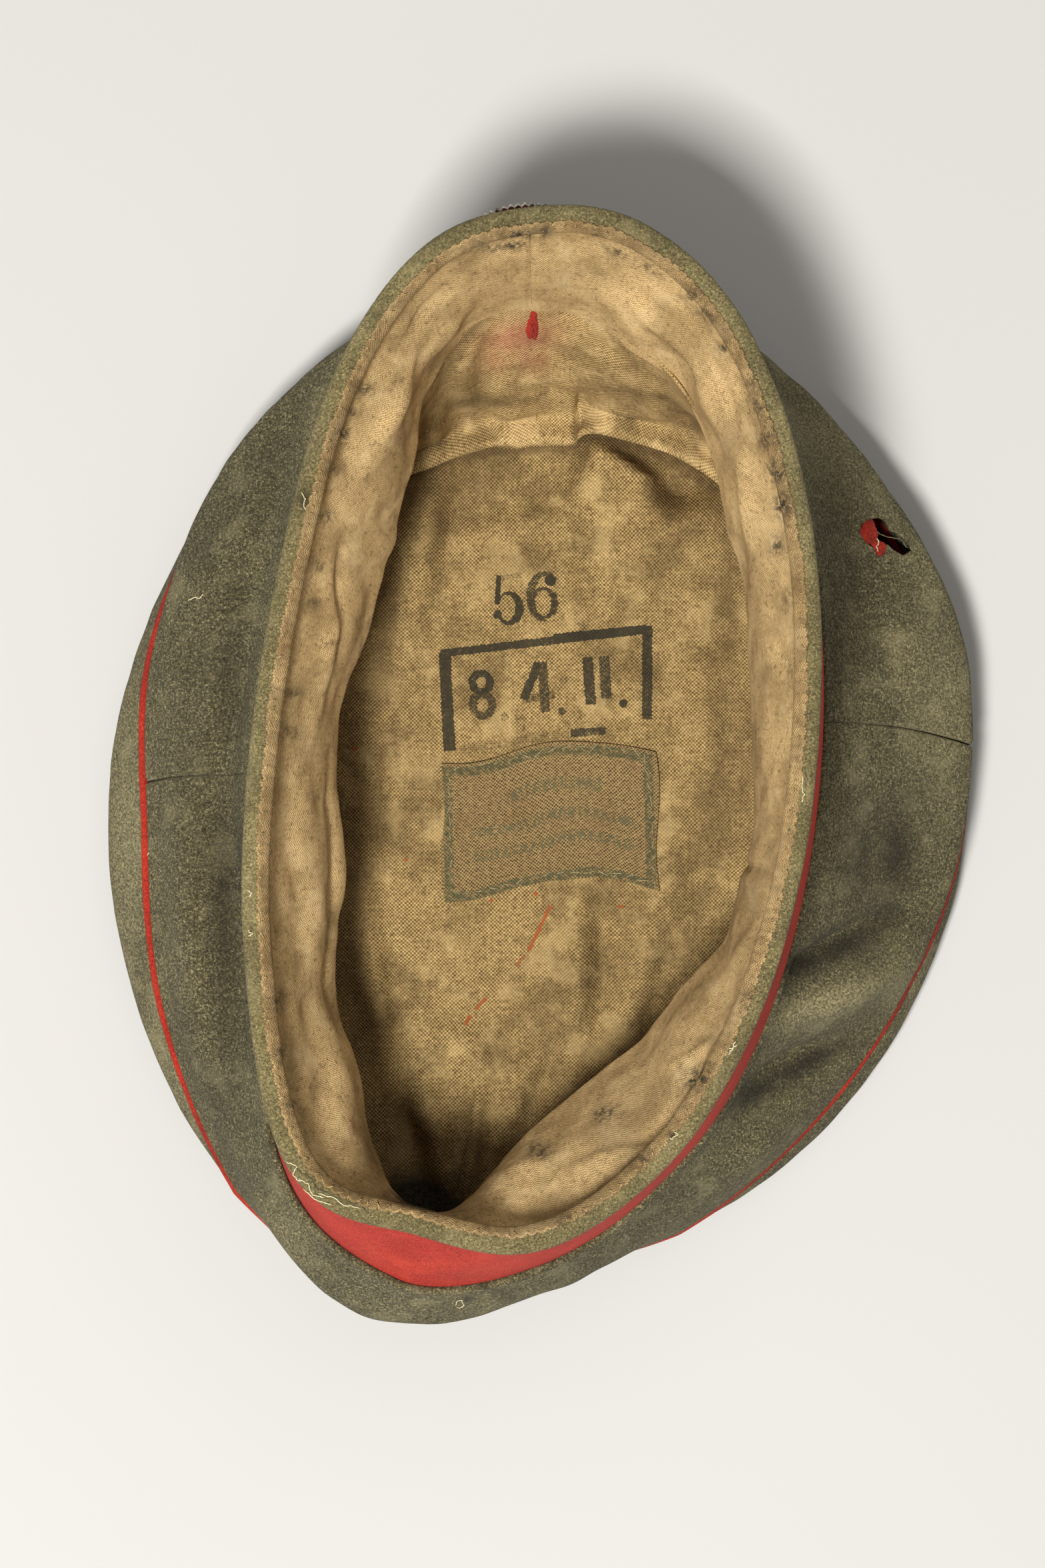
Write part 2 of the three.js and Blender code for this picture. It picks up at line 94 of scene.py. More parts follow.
# Sixteen stations from the cap's right through its front.
mouthTable = {
    "mouth": [1.000, 1.051, 1.072, 1.037, 0.992, 0.987, 0.955, 0.919,
              0.958, 1.068, 1.180, 1.039, 0.993, 0.958, 0.956, 0.970],
    "rim": [0.97, 0.97, 0.98, 0.99, 1.00, 1.00, 1.00, 1.00,
            0.99, 0.98, 0.95, 0.94, 0.95, 0.96, 0.97, 0.97],
    "flare": [0.23, 0.14, 0.12, -0.30, -0.85, -0.75, -0.50, -0.35,
              -0.30, -0.20, 0.27, 1.00, 0.50, 0.34, 0.33, 0.28],
    "skirt": [0.805, 0.807, 0.848, 0.834, 0.825, 0.789, 0.656, 0.628,
              0.692, 0.805, 0.918, 1.035, 0.792, 0.723, 0.753, 0.820],
}
crownTable = {
    "outline": [0.976, 1.011, 1.007, 1.012, 1.001, 1.011, 1.001, 0.984,
                0.985, 0.988, 1.012, 1.062, 0.924, 0.884, 0.894, 0.928],
    "roll": [0.10, 0.10, 0.20, 0.30, 0.30, 0.20, 0.12, 0.32,
             1.05, 0.62, 0.05, -0.60, -0.30, 0.02, 0.34, 0.34],
    "lift": [0.62, 0.62, 0.62, 0.65, 0.66, 0.68, 0.74, 0.86,
             1.00, 0.90, 0.65, 0.45, 0.45, 0.50, 0.55, 0.60],
    "seam": [0.84, 0.84, 0.82, 0.80, 0.80, 0.80, 0.81, 0.82,
             0.82, 0.83, 0.85, 0.88, 0.79, 0.76, 0.76, 0.79],
    "pocket": [0.9, 0.8, 0.5, 0.2, 0.0, 0.2, 0.5, 0.8,
               0.9, 0.8, 0.6, 0.5, 0.5, 0.6, 0.7, 0.8],
}

around = 640                                   # sections round each ring


def share(column, turn):
    count = len(column)
    place = np.mod(turn, 1.0) * count
    row = np.floor(place).astype(int)
    part = place - row
    values = np.asarray(column, float)
    a, b, c, d = (values[(row + step) % count] for step in (-1, 0, 1, 2))
    bend = 2 * a - 5 * b + 4 * c - d + part * (3 * (b - c) + d - a)
    return b + 0.5 * part * (c - a + part * bend)


def bell(offset):
    return np.exp(-offset * offset)


def unit(vectors):
    return vectors / np.maximum(np.linalg.norm(vectors, axis=-1, keepdims=True), 1e-9)


def onEllipse(centre, half, turn, reach):
    angle = 2 * np.pi * turn
    x = centre[0] + half[0] * reach * np.cos(angle)
    y = centre[1] + half[1] * reach * np.sin(angle)
    return np.stack([x, y, np.zeros_like(x)], -1)


def withHeight(points, height):
    points = points.copy()
    points[..., 2] = height
    return points


def outward(ring, turn):
    step = 1 / 128
    along = ring(turn + step) - ring(turn - step)
    return unit(np.stack([along[..., 1], -along[..., 0], np.zeros_like(along[..., 0])], -1))


def towards(start, end, distance):
    return start + unit(end - start) * np.asarray(distance)[..., None]


def mouthTurn(turn):
    halfWidth, halfLength = sizes["mouthHalf"]
    shift = math.asin(sizes["mouthCentre"][1] / halfLength) / (2 * math.pi)
    squeeze = 0.8 * (1 / 8 - math.atan(halfWidth / halfLength) / (2 * math.pi))
    angle = 2 * np.pi * turn
    return turn - shift * np.cos(angle) - squeeze * np.sin(2 * angle)


def mouthRing(turn):
    place = mouthTurn(turn)
    ring = onEllipse(sizes["mouthCentre"], sizes["mouthHalf"], place,
                     share(mouthTable["mouth"], place))
    return withHeight(ring, sizes["height"] * share(mouthTable["rim"], place))


def besideRim(turn, out, rise):
    point = mouthRing(turn) + outward(mouthRing, turn) * np.asarray(out)[..., None]
    point[..., 2] += rise
    return point


def waist(turn):
    lean = sizes["bandFlare"] * share(mouthTable["flare"], mouthTurn(turn))
    drop = np.sqrt(sizes["bandHeight"] ** 2 - lean ** 2)
    return besideRim(turn, lean - sizes["bandInset"], -drop)


def skirtRing(turn):
    place = mouthTurn(turn)
    ring = onEllipse(sizes["mouthCentre"], sizes["mouthHalf"], place,
                     share(mouthTable["skirt"], place))
    return withHeight(ring, mouthRing(turn)[..., 2] - sizes["skirtDrop"])


def crownRing(turn):
    return onEllipse((0, 0), sizes["crownHalf"], turn, share(crownTable["outline"], turn))


def pipingLine(turn):
    roll = share(crownTable["roll"], turn)
    inset = sizes["piping"] / 2 + sizes["rollInset"] * np.abs(roll)
    point = crownRing(turn) - outward(crownRing, turn) * inset[..., None]
    return withHeight(point, sizes["rollHeight"] * share(crownTable["lift"], turn))


def panelBulge(turn):
    roll = share(crownTable["roll"], turn)
    overhang = sizes["panelSwell"] + sizes["rollInset"] * np.maximum(0, -roll)
    middle = (pipingLine(turn) + waist(turn)) / 2
    return middle + outward(crownRing, turn) * overhang[..., None]


def discEdge(turn):
    out = sizes["rollInset"] * np.maximum(share(crownTable["roll"], turn), 0)
    piping = pipingLine(turn)
    out = out - sizes["wool"] / 2 + sizes["piping"] / 2 * np.minimum(1, out / 2)
    point = piping + outward(crownRing, turn) * out[..., None]
    return withHeight(point, 0.45 * piping[..., 2])


def contactRing(turn):
    point = discEdge(turn) - outward(crownRing, turn) * sizes["contactInset"]
    return withHeight(point, sizes["wool"] / 2)


# How far the band's top lies below the rim's upper face
underRim = (sizes["rimThickness"] + sizes["clearance"]
            + sizes["wool"] / 2 * sizes["bandFlare"] / sizes["bandHeight"])
linen = 0.8 * sizes["lining"]                  # thickness of the linings as they show


# Smooth curves through the control rings, as rows of evenly spaced points.
def smoothRows(controls, count, finer=14):
    points = np.stack(controls)
    padded = np.concatenate([2 * points[:1] - points[1:2], points,
                             2 * points[-1:] - points[-2:-1]])
    gaps = np.linalg.norm(np.diff(padded, axis=0), axis=2, keepdims=True)
    gaps = np.sqrt(np.maximum(gaps, 1e-4))
    fine = []
    for i in range(len(points) - 1):
        p0, p1, p2, p3 = padded[i:i + 4]
        d0, d1, d2 = gaps[i:i + 3]
        t1 = ((p1 - p0) / d0 - (p2 - p0) / (d0 + d1) + (p2 - p1) / d1) * d1
        t2 = ((p2 - p1) / d1 - (p3 - p1) / (d1 + d2) + (p3 - p2) / d2) * d1
        for s in np.arange(finer) / finer:
            square, cube = s * s, s ** 3
            fine.append(p1 + t1 * s + (3 * p2 - 3 * p1 - 2 * t1 - t2) * square
                        + (2 * p1 - 2 * p2 + t1 + t2) * cube)
    fine.append(points[-1])
    fine = np.stack(fine, 1)
    rows = np.empty((fine.shape[0], count + 1, 3))
    for row, line in zip(rows, fine):
        lengths = np.concatenate([[0], np.cumsum(np.linalg.norm(np.diff(line, axis=0), axis=1))])
        wanted = np.linspace(0, lengths[-1], count + 1)
        for axis in range(3):
            row[:, axis] = np.interp(wanted, lengths, line[:, axis])
    return rows


# A smooth random field from -1 to 1, with hills about so many millimetres apart.
def clouds(points, spacing, seed):
    cell = points / spacing
    base = np.floor(cell).astype(np.int64)
    part = cell - base
    part = part * part * (3 - 2 * part)
    total = np.zeros(points.shape[:-1])
    for corner in itertools.product((0, 1), repeat=3):
        at = base + np.array(corner)
        mixed = at[..., 0] * 73856093 ^ at[..., 1] * 19349663 ^ at[..., 2] * 83492791
        mixed = (mixed ^ seed * 2654435761) & 0xffffffff
        mixed = ((mixed ^ (mixed >> 15)) * 2246822519) & 0xffffffff
        mixed = ((mixed ^ (mixed >> 13)) * 3266489917) & 0xffffffff
        weight = np.prod(np.where(np.array(corner) == 1, part, 1 - part), axis=-1)
        total += weight * ((mixed & 0xffff) / 32767.5 - 1)
    return total


# Clouds in layers, each row a spacing, a seed and how far it reaches.
def unevenOn(points, layers):
    return sum(amount * clouds(points, spacing, seed) for spacing, seed, amount in layers)


def blotsOn(points, spacing, seed, strength):
    return strength * np.clip(clouds(points, spacing, seed), 0, 1)


def levelsOf(rows):                            # 0 at the first line of the rows, 1 at the last
    return np.linspace(0, 1, rows.shape[1])[None, :]


# How far a table of folds pushes a wall, each row: turn, spread, rise, level, height and
# slant. Turns and spreads are shares of a full turn, levels and heights of the wall's height.
def foldPush(turn, level, folds):
    total = np.zeros(np.broadcast(turn, level).shape)
    for place, spread, rise, middle, tall, slant in folds:
        away = turn - place - slant * (level - middle)
        away = away - np.round(away)
        total += rise * bell(away / spread) * bell((level - middle) / tall)
    return total


# The normals of a grid of points, which point to the inside of the cap.
def gridNormals(rows, ring):
    if ring:
        across = np.roll(rows, -1, 0) - np.roll(rows, 1, 0)
    else:
        across = np.gradient(rows, axis=0)
    return unit(np.cross(across, np.gradient(rows, axis=1)))


# More lines past an edge, each thinner, so that the cloth ends in a half round.
def roundEdge(rows, half, axis, last):
    lines = np.moveaxis(rows, axis, 0)
    halves = np.moveaxis(half, axis, 0)
    if not last:
        lines, halves = lines[::-1], halves[::-1]
    way = unit(lines[-1] - lines[-2])
    angles = np.radians([25, 50, 70, 84])
    more = [lines[-1] + way * (halves[-1] * math.sin(a))[..., None] for a in angles]
    thin = [halves[-1] * math.cos(a) for a in angles]
    lines = np.concatenate([lines, np.stack(more)])
    halves = np.concatenate([halves, np.stack(thin)])
    if not last:
        lines, halves = lines[::-1], halves[::-1]
    return np.moveaxis(lines, 0, axis), np.moveaxis(halves, 0, axis)


def measured(rows, axis):
    steps = np.linalg.norm(np.diff(rows, axis=axis), axis=2)
    first = np.zeros_like(np.take(steps, [0], axis))
    return np.concatenate([first, np.cumsum(steps, axis)], axis)


# A closed cloth of even thickness about a grid of points, with its cloth lengths as UV.
def clothShell(rows, thickness, ring=True, hub=False, flatUv=False):
    half = np.full(rows.shape[:2], thickness / 2)
    rows, half = roundEdge(rows, half, 1, False)
    if not hub:
        rows, half = roundEdge(rows, half, 1, True)
    if not ring:
        rows, half = roundEdge(rows, half, 0, False)
        rows, half = roundEdge(rows, half, 0, True)
    n, m = rows.shape[:2]
    normal = gridNormals(rows, ring) * half[..., None]
    points = np.concatenate([(rows - normal).reshape(-1, 3), (rows + normal).reshape(-1, 3)])
    closedRows = np.concatenate([rows, rows[:1]]) if ring else rows
    u = np.repeat(measured(closedRows, 0)[:, m // 2:m // 2 + 1], m, 1)
    v = measured(closedRows, 1)
    if flatUv:
        u, v = closedRows[..., 0], closedRows[..., 1]
    uvGrid = np.stack([u, v], -1)
    i = np.arange(n if ring else n - 1)[:, None]
    j = np.arange(m - 1)[None, :]

    def at(side, row, column):
        return side * n * m + (row % n) * m + column

    def strip(corners):                        # quads and their UVs from (side, row, column)
        quads = np.stack([np.broadcast_arrays(at(*c), i + j)[0] for c in corners], -1)
        uvs = np.stack([uvGrid[np.broadcast_arrays(c[1], i + j)[0],
                               np.broadcast_arrays(c[2], i + j)[0]] for c in corners], -2)
        return quads.reshape(-1, 4), uvs.reshape(-1, 4, 2)

    parts = [strip([(0, i, j), (0, i, j + 1), (0, i + 1, j + 1), (0, i + 1, j)]),
             strip([(1, i, j), (1, i + 1, j), (1, i + 1, j + 1), (1, i, j + 1)])]
    wholeJ, j = j, np.zeros((1, 1), int)
    parts.append(strip([(0, i, j), (0, i + 1, j), (1, i + 1, j), (1, i, j)]))
    if not hub:
        j = j + m - 1
        parts.append(strip([(0, i, j), (1, i, j), (1, i + 1, j), (0, i + 1, j)]))
    if not ring:
        i, j = np.zeros((1, 1), int), wholeJ
        parts.append(strip([(0, i, j), (1, i, j), (1, i, j + 1), (0, i, j + 1)]))
        i = i + n - 1
        parts.append(strip([(0, i, j), (0, i, j + 1), (1, i, j + 1), (1, i, j)]))
    quads = np.concatenate([p[0] for p in parts])
    uvs = np.concatenate([p[1] for p in parts])
    faces = [tuple(q) for q in quads.tolist()]
    cornerUvs = uvs.reshape(-1, 2)
    if hub:
        middle = rows[:, -1].mean(0)
        lift = np.array([0, 0, thickness / 2])
        points = np.concatenate([points, [middle - lift, middle + lift]])
        for side in (0, 1):
            for k in range(n):
                near, far = at(side, k, m - 1), at(side, k + 1, m - 1)
                centre = 2 * n * m + side
                face = (centre, near, far) if side else (centre, far, near)
                faces.append(tuple(int(f) for f in face))
        hubUvs = []
        for face in faces[-2 * n:]:
            hubUvs.extend(points[list(face)][:, :2])
        cornerUvs = np.concatenate([cornerUvs, np.array(hubUvs)])
    return points, faces, cornerUvs


def madeMesh(name, points, faces, cornerUvs=None, marks=None):
    mesh = bpy.data.meshes.new(name)
    mesh.from_pydata((np.asarray(points) * millimetre).tolist(), [], faces)
    if cornerUvs is not None:
        layer = mesh.uv_layers.new(name="cloth")
        layer.data.foreach_set("uv", np.asarray(cornerUvs, np.float32).ravel())
    for mark, values in (marks or {}).items():
        attribute = mesh.attributes.new(mark, "FLOAT", "POINT")
        attribute.data.foreach_set("value", np.asarray(values, np.float32))
    mesh.polygons.foreach_set("use_smooth", np.ones(len(mesh.polygons), bool))
    mesh.update()
    return mesh


# Every piece rides on the cap's one body.
def addPiece(name, mesh, finish, nodes=()):
    piece = bpy.data.objects.new(name, mesh)
    bpy.context.scene.collection.objects.link(piece)
    mesh.materials.append(finish)
    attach(piece, "root")
    if nodes:
        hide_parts(*nodes)
    return piece


clothTrees = {}


# A cloth is also kept for finding what shows at a point of the picture.
def addCloth(name, shell, finish, node, marks=None):
    points, faces, uvs = shell
    clothTrees[name] = BVHTree.FromPolygons([Vector(p) for p in points], faces)
    return addPiece(name, madeMesh(name, points, faces, uvs, marks), finish, [node])


def ringFaces(rings, count, closed):           # quads between rings of points
    return [(r * count + k, r * count + (k + 1) % count,
             (r + 1) % rings * count + (k + 1) % count, (r + 1) % rings * count + k)
            for r in range(rings if closed else rings - 1) for k in range(count)]


def lidFaces(rings, count):                    # what closes the first and the last ring
    return [tuple(range(count))[::-1], tuple(range((rings - 1) * count, rings * count))]


# A tube along a line of points, closed on itself or with rounded ends.
def tubeParts(line, radius, sides=6, closed=False):
    line = np.asarray(line, float)
    if closed:
        way = unit(np.roll(line, -1, 0) - np.roll(line, 1, 0))
    else:
        way = unit(np.gradient(line, axis=0))
    guide = np.where(np.abs(way[:, 2:]) > 0.9, [[1.0, 0, 0]], [[0, 0, 1.0]])
    side = unit(np.cross(way, guide))
    rise = np.cross(side, way)
    radii = np.broadcast_to(np.asarray(radius, float), len(line)).copy()
    if not closed:
        radii[[0, -1]] *= 0.45
    angle = 2 * np.pi * np.arange(sides)[:, None] / sides
    ring = side[:, None] * np.cos(angle) + rise[:, None] * np.sin(angle)
    points = (line[:, None] + ring * radii[:, None, None]).reshape(-1, 3)
    faces = ringFaces(len(line), sides, closed)
    return points, faces if closed else faces + lidFaces(len(line), sides)


# Many small closed parts joined into one mesh.
def joined(parts):
    points, faces, start = [], [], 0
    for partPoints, partFaces in parts:
        points.append(partPoints)
        faces.extend(tuple(index + start for index in face) for face in partFaces)
        start += len(partPoints)
    return np.concatenate(points), faces


# How far points lie from a place of the picture, in half widths and half heights of a
# patch that is turned there by so many degrees.
def fromPatch(across, down, x, y, wide, tall, turn=0):
    angle = math.radians(turn)
    dx, dy = across - x, down - y
    return ((dx * math.cos(angle) + dy * math.sin(angle)) / wide,
            (dy * math.cos(angle) - dx * math.sin(angle)) / tall)


# How strongly a table of marks shows at points, each mark placed by the picture:
# across, down, half width, half height, strength and turn in degrees.
def marksOn(points, marks):
    across, down = inPicture(points)
    total = np.zeros(len(points))
    for x, y, wide, tall, strength, *turn in marks:
        along, over = fromPatch(across, down, x, y, wide, tall, *turn)
        total = np.maximum(total, strength * bell(np.hypot(along, over)))
    return total


# The marks of each kind at points: dirt, stains and wear, and painted highlights and painted shade
def wearAndPaintedLight(points, piece, *kinds):
    return {kind: marksOn(points, piece[kind]) for kind in kinds}


# How far a table of folds placed by the picture pushes points, in millimetres: across,
# down, half width, half height, turn in degrees, rise. A fold with a seventh value is
# sharp on its left side and falls away to the right.
def picturePush(points, folds):
    across, down = inPicture(points)
    total = np.zeros(points.shape[:-1])
    for x, y, wide, tall, turn, rise, *sharp in folds:
        along, over = fromPatch(across, down, x, y, wide, tall, turn)
        if sharp:
            ramp = np.where(along >= 0, np.exp(-np.maximum(along, 0)),
                            np.exp(sharp[0] * np.minimum(along, 0)))
            total += rise * ramp * bell(over)
        else:
            total += rise * bell(np.hypot(along, over))
    return total


# The point of a kept cloth that shows at a point of the picture, lifted off the cloth.
def onCloth(name, across, down, lift=0.0):
    eye = Vector(picture["eye"])
    aim = Vector(fromPicture(across, down, 0.0)) - eye
    place, normal, _, _ = clothTrees[name].ray_cast(eye, aim.normalized())
    if place is None:
        return None
    return np.array(place - normal * lift if normal.dot(aim) > 0 else place + normal * lift)


# Node materials

tree = None                                    # the node tree of the finish being made


def tone(red, green, blue):                    # a colour as a screen shows it, 0 to 255
    return tuple((c / 255 / 12.92 if c < 11 else ((c / 255 + 0.055) / 1.055) ** 2.4)
                 for c in (red, green, blue)) + (1.0,)


class Wire:                                    # a node's output, which counts like a number
    def __init__(self, socket):
        self.socket = socket

    def __add__(self, other):
        return maths("ADD", self, other)

    def __sub__(self, other):
        return maths("SUBTRACT", self, other)

    def __rsub__(self, other):
        return maths("SUBTRACT", other, self)

    def __mul__(self, other):
        return maths("MULTIPLY", self, other)


def setInputs(node, inputs):
    for socket, value in inputs.items():
        if isinstance(value, Wire):
            tree.links.new(value.socket, node.inputs[socket])
        else:
            node.inputs[socket].default_value = value


def addNode(kind, inputs, output=0, **settings):
    node = tree.nodes.new("ShaderNode" + kind)
    for name, value in settings.items():
        setattr(node, name, value)
    setInputs(node, inputs)
    return Wire(node.outputs[output])


def maths(operation, *values):
    return addNode("Math", dict(enumerate(values)), operation=operation)


def vectors(operation, *values, output=0):
    return addNode("VectorMath", dict(enumerate(values)), output, operation=operation)


def coordinates(place):
    return [addNode("SeparateXYZ", {0: place}, axis) for axis in (0, 1)]


def noiseAt(place, scale, detail=2.0, roughness=0.5, distortion=0.0, output=0):
    inputs = {"Vector": place, "Scale": scale, "Detail": detail,
              "Roughness": roughness, "Distortion": distortion}
    return addNode("TexNoise", inputs, output)


def stretched(place, scale):
    return addNode("Mapping", {"Vector": place, "Scale": scale})


def between(value, low, high, start=0.0, end=1.0):
    inputs = {"Value": value, "From Min": low, "From Max": high, "To Min": start, "To Max": end}
    return addNode("MapRange", inputs, interpolation_type="SMOOTHSTEP")


# Cloudy patches: the noise's scale, detail and roughness, then what of it shows.
def patches(place, scale, detail, roughness, *limits):
    return between(noiseAt(place, scale, detail, roughness), *limits)


# Tones laid over a first one, each row how strongly it shows and its tone.
def layered(tones, layers):
    for factor, over in layers:
        tones = addNode("Mix", {0: factor, 6: tones, 7: over}, 2,
                        data_type="RGBA", blend_type="MIX")
    return tones


def solidPlace():                              # the place in the cap, in millimetres
    return stretched(addNode("TexCoord", {}, "Object"), (1000, 1000, 1000))


def clothPlace():                              # along and across the cloth, in millimetres
    return addNode("UVMap", {}, uv_map="cloth")


def markOf(name):
    return addNode("Attribute", {}, "Fac", attribute_name=name)


# Puts a finish together from what its paint function gives: colour, height and roughness.
def newFinish(name, paint, depth, sheen=0.0, metal=0.0, specular=0.25):
    global tree
    material = bpy.data.materials.new(name)
    material.use_nodes = True
    tree = material.node_tree
    colour, height, roughness = paint()
    bump = addNode("Bump", {"Height": height, "Strength": 1.0, "Distance": depth * millimetre})
    setInputs(tree.nodes["Principled BSDF"], {
        "Base Color": colour, "Normal": bump, "Roughness": roughness, "Metallic": metal,
        "Specular IOR Level": specular, "Sheen Weight": sheen, "Sheen Roughness": 0.6})
    return material


# Fulled wool: light and dark fibres spun together, cloudy wear and dust, and from the marks dirt,
# dust, painted highlights and painted shade.
def woolPaint(dark, middle, light, fibre=1.7):
    def paint():
        place = solidPlace()
        fine = noiseAt(place, fibre, 5.0, 0.85, 0.3)
        fibres = noiseAt(stretched(place, (1.5, 0.45, 0.8)), fibre * 1.5, 3.0, 0.75, 1.5)
        crossed = noiseAt(stretched(place, (0.5, 1.5, 0.9)), fibre * 1.7, 3.0, 0.75, 1.5)
        grain = fine * 0.5 + (fibres + crossed) * 0.25
        tones = layered(dark, [
            (between(grain, 0.42, 0.495), middle),
            (between(grain, 0.505, 0.585), light),
            (patches(place, 0.05, 4.0, 0.65, 0.38, 0.66) * 0.30, dark),
            (patches(place, 0.12, 3.0, 0.6, 0.5, 0.72) * 0.22, light),
            # the pale mark: dust, and painted highlights; the next mark: dirt, and painted shade
            (markOf("pale") * between(fine, 0.42, 0.6, 0.2, 0.9), light),
            (markOf("soilAndShade") * 0.85, tone(30, 25, 14))])
        return tones, grain, between(grain, 0.3, 0.7, 0.98, 0.86)
    return paint


def weave(place, pitch):                       # 0 to 1, highest where one thread crosses another
    waves = [maths("SINE", part * (2 * math.pi / pitch)) for part in coordinates(place)]
    return waves[0] * waves[1] * 0.5 + 0.5


# Woven linen: threads over and under each other, slubs, cloudy soiling, dirt and painted shade
# from the marks, and what is printed.
def weavePaint(dark, middle, light, pitch, strokes=(), ink=None):
    def paint():
        flat = clothPlace()
        place = vectors("MULTIPLY_ADD", noiseAt(flat, 0.16, output=1), (0.7, 0.7, 0.0), flat)
        dots = weave(place, pitch)
        warp = noiseAt(stretched(place, (1.1 / pitch, 0.22, 1)), 1.0, 2.0, 0.6)
        weft = noiseAt(stretched(place, (0.22, 1.1 / pitch, 1)), 1.0, 2.0, 0.6)
        slubs = (warp + weft) * 0.5
        fuzz = noiseAt(place, 1.0 / pitch, 4.0, 0.8)
        shade = dots * 0.30 + (slubs * 0.25 + fuzz * 0.45)
        solid = solidPlace()
        soilAndShade = markOf("soilAndShade")
        layers = [
            (between(shade, 0.33, 0.50), middle),
            (between(shade, 0.50, 0.68), light),
            (patches(solid, 0.08, 5.0, 0.68, 0.42, 0.64) * 0.48, dark),
            (patches(solid, 0.7, 4.0, 0.8, 0.54, 0.66) * 0.55, tone(66, 50, 26)),
            (patches(solid, 0.11, 3.0, 0.6, 0.5, 0.7) * 0.35, light),
            (markOf("rose") * 0.6, tone(178, 98, 82)),
            # the marks: dirt, and painted shade; near black where they are strongest, the painted
            # shadow in the deepest gaps
            (soilAndShade * patches(solid, 0.22, 3.0, 0.7, 0.2, 0.75, 0.35, 1.1), tone(84, 64, 36)),
            (between(soilAndShade, 0.95, 1.5), tone(12, 9, 4)),
            # smudges, and the painted shadow in the dark gap at the back left of the mouth
            (markOf("sootAndShade") * patches(solid, 0.6, 4.0, 0.75, 0.40, 0.58, 0.12, 1.0),
             tone(50, 45, 32)),
        ]
        if strokes:
            layers.append((inkOf(flat, dots, strokes), ink))
        height = dots * 0.5 + (slubs + fuzz) * 0.4
        return layered(dark, layers), height, between(shade, 0.2, 0.8, 0.96, 0.84)
    return paint


# The ink on the crown lining, each stroke placed by the picture: its kind, middle across
# and down, half width, half height, turn in degrees, and how well it printed. A ring has an
# inner oval cut out of it, moved across and down, and may have a patch cut out as well.
inkStrokes = [
    ("bar", 764, 866, 18, 4.2, -12, 0.56), ("bar", 747, 885, 4, 22, 3, 0.92),
    ("ring", 765, 913, 21, 25, 0, 0.84, (12, 19, -4, -1), (741, 911, 9, 6)),
    ("dot", 747, 922, 6, 7, 0, 0.80), ("ring", 816, 905, 22, 24, 0, 0.78, (12, 19, -1, 0)),
    ("ring", 816, 895, 26, 38, 0, 0.74, (20, 34, 6, 2), (846, 903, 26, 30)),
    ("dot", 826, 871, 9, 9, 0, 1.0), ("bar", 820, 962, 160, 6.0, -6.6, 0.84),
    ("bar", 900, 951, 70, 7, -6, 0.95), ("bar", 671, 1053, 9, 74, -3, 0.86),
    ("bar", 971, 1012, 7.5, 67, 0.5, 0.82), ("bar", 766, 1113, 95, 6.5, -8.5, 0.50),
    ("bar", 883, 1098, 26, 6, -4, 0.78), ("ring", 722, 1024, 19, 19, 0, 0.84, (7, 9, 0, 0)),
    ("ring", 724, 1058, 21, 22, 0, 0.72, (8.5, 11, 0, 0)),
    ("bar", 797, 1022, 6.5, 30, 22, 0.84), ("bar", 808, 1045, 24, 6, -8, 0.64),
    ("bar", 816, 1030, 7, 38, -3, 0.74), ("bar", 884, 1021, 8, 36, -5, 0.82),
    ("bar", 908, 1016, 8, 32, -4, 0.74), ("dot", 757, 1075, 6, 6, 0, 0.62),
    ("dot", 844, 1066, 6, 6, 0, 0.72), ("dot", 935, 1055, 6.5, 6.5, 0, 0.90),
]
# rust and blood-brown specks, placed the same way
rustStrokes = [
    ("bar", 808, 1396, 2.6, 34, 26, 0.86), ("bar", 782, 1439, 2.2, 10, 40, 0.70),
    ("bar", 702, 1530, 2.6, 8, 30, 0.90), ("bar", 722, 1505, 2.4, 12, 42, 0.84),
    ("dot", 931, 1360, 4, 3, 0, 0.95), ("dot", 825, 1362, 3, 4, 0, 0.90),
    ("dot", 730, 1335, 3, 3, 0, 0.90), ("dot", 534, 1123, 4, 3, 0, 0.90),
    ("dot", 804, 1341, 3, 3, 0, 0.90), ("dot", 737, 1350, 3, 3, 0, 0.90),
    ("dot", 610, 1290, 3, 3, 0, 0.80),
]
inkHeight = 4.2                                # of the cloth that carries the ink


def inkOf(flat, dots, strokes):
    jitter = vectors("SUBTRACT", noiseAt(flat, 1.3, output=1), (0.5, 0.5, 0.5))
    place = vectors("MULTIPLY_ADD", jitter, (0.9, 0.9, 0.0), flat)
    grow = (picture["eye"][2] - inkHeight) / picture["focal"]

    def insideOf(across, down, wide, tall, turn=0, oval=False):
        x, y, _ = fromPicture(across, down, inkHeight)
        local = addNode("Mapping", {
            "Vector": place, "Location": (x, y, 0), "Rotation": (0, 0, -math.radians(turn)),
            "Scale": (wide * grow, tall * grow, 1)}, vector_type="TEXTURE")
        if oval:
            reach = vectors("LENGTH", local, output="Value")
        else:
            reach = maths("MAXIMUM", *coordinates(vectors("ABSOLUTE", local)))
        return maths("LESS_THAN", reach, 1.0)

    total = 0.0
    for kind, x, y, wide, tall, turn, press, *cuts in strokes:
        inside = insideOf(x, y, wide, tall, turn, kind != "bar")
        if kind == "ring":
            holeWide, holeTall, aside, lower = cuts[0]
            hole = insideOf(x + aside, y + lower, holeWide, holeTall, turn, True)
            inside = inside - hole
        for cut in cuts[1:]:
            inside = inside - insideOf(*cut)
        total = maths("MAXIMUM", inside * press, total)
    hold = dots * 0.42 + noiseAt(flat, 1.1, 3.0, 0.7) * 0.75
    return between(total + hold, 1.12, 1.36, 0.0, 0.93)


